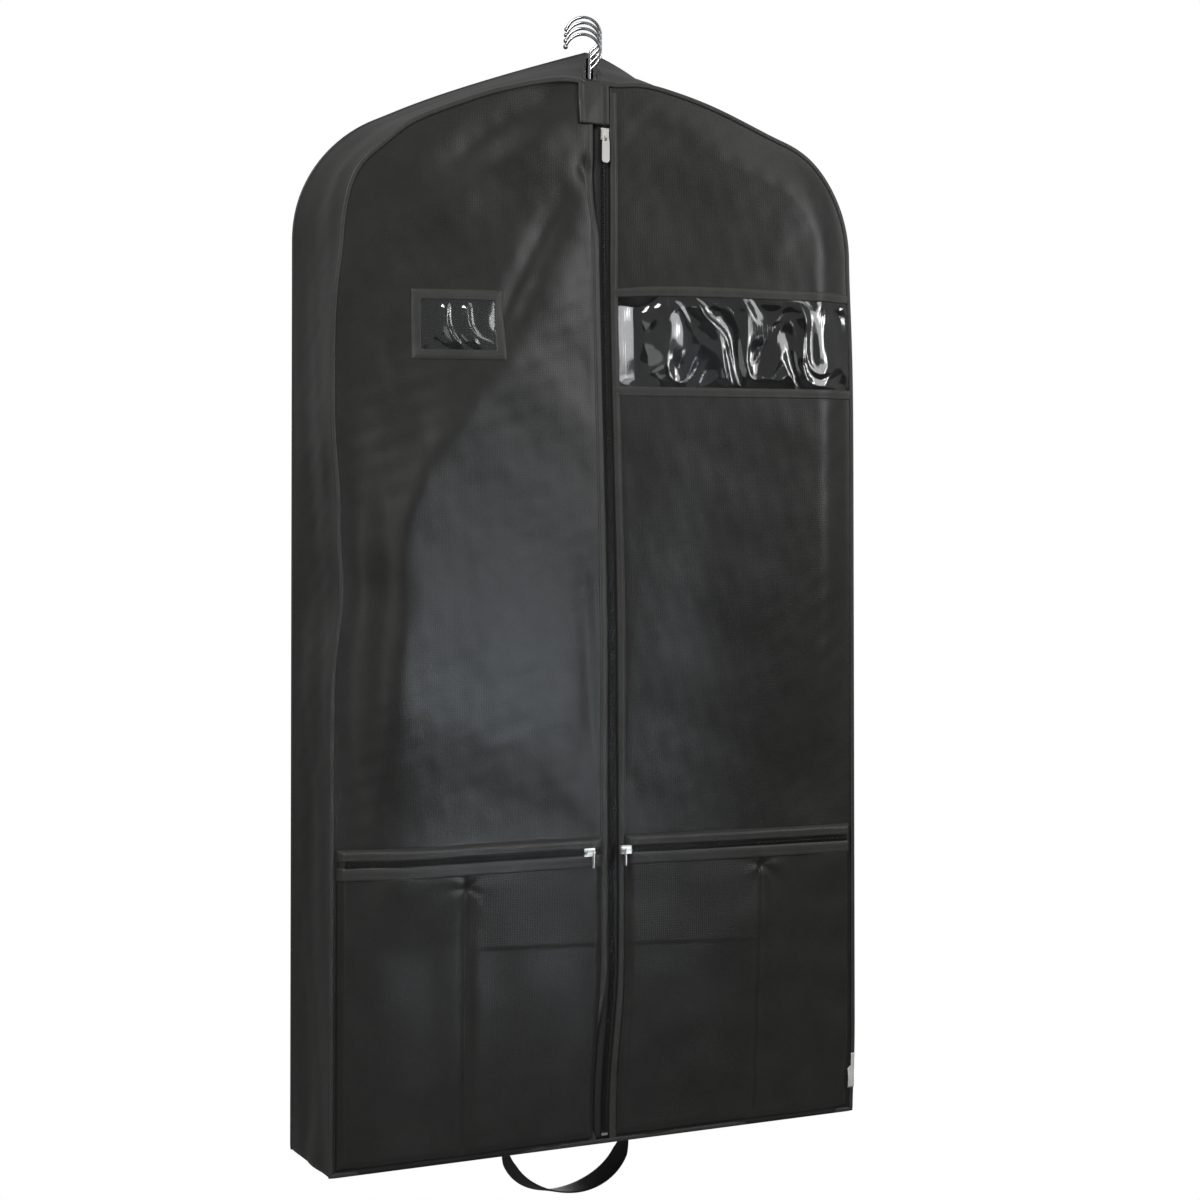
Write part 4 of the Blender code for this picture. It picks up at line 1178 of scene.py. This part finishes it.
angle = np.linspace(0.0, pi, 90)
path = stacked(
    HANDLE_PIVOT.x - HANDLE_HALF * np.cos(angle),
    HANDLE_PIVOT.y,
    HANDLE_PIVOT.z - HANDLE_DROP * np.sin(angle) ** 0.8,
)
stub = np.array([[0.0, 0.0, 0.0018]])
path = np.concatenate([path[:1] + stub, path, path[-1:] + stub])
run = unit_run(path)
level = np.clip((HANDLE_PIVOT.z - path[:, 2]) / (HANDLE_DROP * 0.5), 0.0, 1.0)
spread = WEB_END + (WEB_WIDE - WEB_END) * level
twist = radians(26.0) * np.sin(np.linspace(0.0, 2 * pi, len(path))) * (0.35 + 0.65 * level)
flat_side = np.tile(AXES[1], (len(path), 1))
normal = np.cross(flat_side, run)
across = flat_side * np.cos(twist)[:, None] + normal * np.sin(twist)[:, None]
up = np.cross(run, across)
across = across * (spread / WEB_WIDE)[:, None]
profile = oval(WEB_WIDE / 2, WEB_THICK / 2, 18, power=0.45)
strap = sweep("handle_strap", path, across, up, profile, WEBBING)
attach(strap, "handle")
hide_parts("handle")

for _, word in SIDES:
    low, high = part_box(f"handle_tab_{word}")
    y = np.linspace(low.y, high.y, 12)
    line = stacked((low.x + high.x) / 2, y, (low.z + high.z) / 2 - 0.0002)
    level, up = (np.tile(axis, (12, 1)) for axis in (AXES[0], AXES[2]))
    profile = oval((high.x - low.x) / 2, (high.z - low.z) / 2, 14, power=0.4)
    tab = sweep(f"handle_patch_{word}", line, level, up, profile, WEBBING)
    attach(tab, "lower")
    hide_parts(f"handle_tab_{word}")


# --- Side label -------------------------------------------------------------------
# A small white woven label folded double, left blank. It is caught in the side seam and
# curls away from the cloth below its narrow head.
LABEL = ribbed("woven_label", "#dededa", 0.0008, "Y", roughness=0.7)
low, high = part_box("side_label")
v = steps(26)
s = steps(8).T
inner_x = low.x + 0.0042 * ease((v - 0.58) / 0.05)
x = inner_x + (high.x - inner_x) * s
y = low.y - 0.0004 - 0.0016 * (1 - s) * bump(v, 0.30, 0.30) - 0.0003 * np.sin(9 * v)
points = stacked(x, y, low.z + (high.z - low.z) * v)
label = grid_mesh("blank_label", points, points[..., [0, 2]], LABEL)
give_thickness(label, 0.0005)
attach(label, "lower")
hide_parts("side_label")


# --- Hooks ------------------------------------------------------------------------
# Bright chromed steel wire 3.2 mm thick, bent cold round a former into an open hook with
# a small ball on its tip, above a collar that sits on the hanger's neck.
CHROME = new_material("bright_chrome", "#b9bbbf", 0.11, Metallic=1.0)
WIRE_R, HOOK_R, HOOK_OFFSET = 0.0016, 0.0185, 0.007
HOOK_END, TIP_ANGLE = radians(55.0), radians(162.0)
TIP_BALL_R, SHOULDER_DROP, SPIGOT = 0.0026, 0.080, 0.014
COLLAR_R, COLLAR_HIGH = 0.0045, 0.006
PITCH_Y, RAIL_RISE, HANGERS = 0.022, 0.0107, 4


def hook_line():
    """Wire's centre line as (x, z): an arc from the tip, a reverse bend, then straight down."""
    angle = np.linspace(TIP_ANGLE, -HOOK_END, 56)
    x = -HOOK_OFFSET + HOOK_R * np.cos(angle)
    z = WIRE_R - HOOK_R + HOOK_R * np.sin(angle)
    left = HOOK_END * (1.0 - np.linspace(0.0, 1.0, 14)[1:])
    bend = x[-1] / (1.0 - cos(HOOK_END))
    x_bend = x[-1] - bend * (np.cos(left) - cos(HOOK_END))
    z_bend = z[-1] - bend * (sin(HOOK_END) - np.sin(left))
    x = np.concatenate([x, x_bend, [0.0, 0.0]])
    z = np.concatenate([z, z_bend, [-SHOULDER_DROP, -SHOULDER_DROP - SPIGOT + 0.0004]])
    return x, z


def lathe(name, radius, height, centre, material):
    """Surface turned about a vertical line from (radius, height) pairs, closed at its poles."""
    turn = np.linspace(0.0, 2 * pi, 24, endpoint=False)[None, :]
    radius, height = radius[:, None], height[:, None]
    level_x, level_y = centre[0] + radius * np.cos(turn), centre[1] + radius * np.sin(turn)
    points = stacked(level_x, level_y, centre[2] + height)
    piece = grid_mesh(name, points, stacked(turn * 0.004, height), material, closed=True)
    close_up(piece.data, TOUCHING)
    return piece


line_x, line_z = hook_line()
rail_x, rail_y = cos(RAIL_TURN), -sin(RAIL_TURN)
for number in range(1, HANGERS + 1):
    row = number - (HANGERS + 1) / 2
    foot_x = row * PITCH_Y * tan(RAIL_TURN) + HOOK_OFFSET * rail_x
    foot = np.array([foot_x, row * PITCH_Y + HOOK_OFFSET * rail_y, row * RAIL_RISE])
    path = foot + stacked(line_x * rail_x, line_x * rail_y, line_z)
    side_way = np.tile([[-rail_y, rail_x, 0.0]], (len(path), 1))
    up = np.cross(unit_run(path), side_way)
    wire = sweep(f"hook_wire_{number}", path, side_way, up, oval(WIRE_R, WIRE_R, 16, power=1.0), CHROME)
    polar = np.linspace(0.0, pi, 13)
    ball_r, ball_z = TIP_BALL_R * np.sin(polar), TIP_BALL_R * np.cos(polar)
    ball = lathe(f"hook_tip_{number}", ball_r, ball_z, path[0], CHROME)
    seat = foot + np.array([0.0, 0.0, -SHOULDER_DROP + 0.0004])
    ring_r = np.array([0.0, 0.85, 1.0, 1.0, 0.85, 0.0]) * COLLAR_R
    ring_z = np.array([0.0, 0.0, 0.15, 0.85, 1.0, 1.0]) * COLLAR_HIGH
    collar = lathe(f"hook_collar_{number}", ring_r, ring_z, seat, CHROME)
    for piece in (wire, ball, collar):
        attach(piece, f"hook_{number}")
    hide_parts(f"hook_{number}")


# --- Metal and moulded parts ------------------------------------------------------
# The sliders, pulls and bottom stop are zinc castings, nickel plated and tumbled bright;
# the hangers inside are black injection-moulded polypropylene with a fine satin grain.
NICKEL = new_material("nickel_plated_zinc", "#f0eeea", 0.30, Metallic=1.0)
tree = NICKEL.node_tree
place = add_node(tree, "ShaderNodeTexCoord").outputs["Object"]
scuff = add_node(tree, "ShaderNodeTexNoise", Vector=place, Scale=900.0, Detail=3.0)  # 1.1 mm
wear = add_node(
    tree, "ShaderNodeMath", {"operation": "MULTIPLY_ADD"}, _0=scuff.outputs["Fac"], _1=0.16, _2=0.26
)
tree.links.new(wear.outputs[0], tree.nodes["Principled BSDF"].inputs["Roughness"])
MOULDING = new_material("moulded_polypropylene", "#1b1b1c", 0.42)
tree = MOULDING.node_tree
place = add_node(tree, "ShaderNodeTexCoord").outputs["Object"]
grain = add_node(tree, "ShaderNodeTexNoise", Vector=place, Scale=1400.0, Detail=2.0)  # 0.7 mm
relief = add_node(
    tree, "ShaderNodeBump", Strength=0.25, Distance=0.0002, Height=grain.outputs["Fac"]
)
tree.links.new(relief.outputs["Normal"], tree.nodes["Principled BSDF"].inputs["Normal"])
finishes = {
    NICKEL: ["main_slider", "main_pull", "zip_stop"]
    + [f"pocket_{part}_{word}" for part in ("slider", "pull") for word in ("left", "right")],
    MOULDING: [f"hanger_{number}" for number in range(1, HANGERS + 1)],
}
for finish, nodes in finishes.items():
    for node in nodes:
        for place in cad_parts[node].material_slots:
            place.material = finish
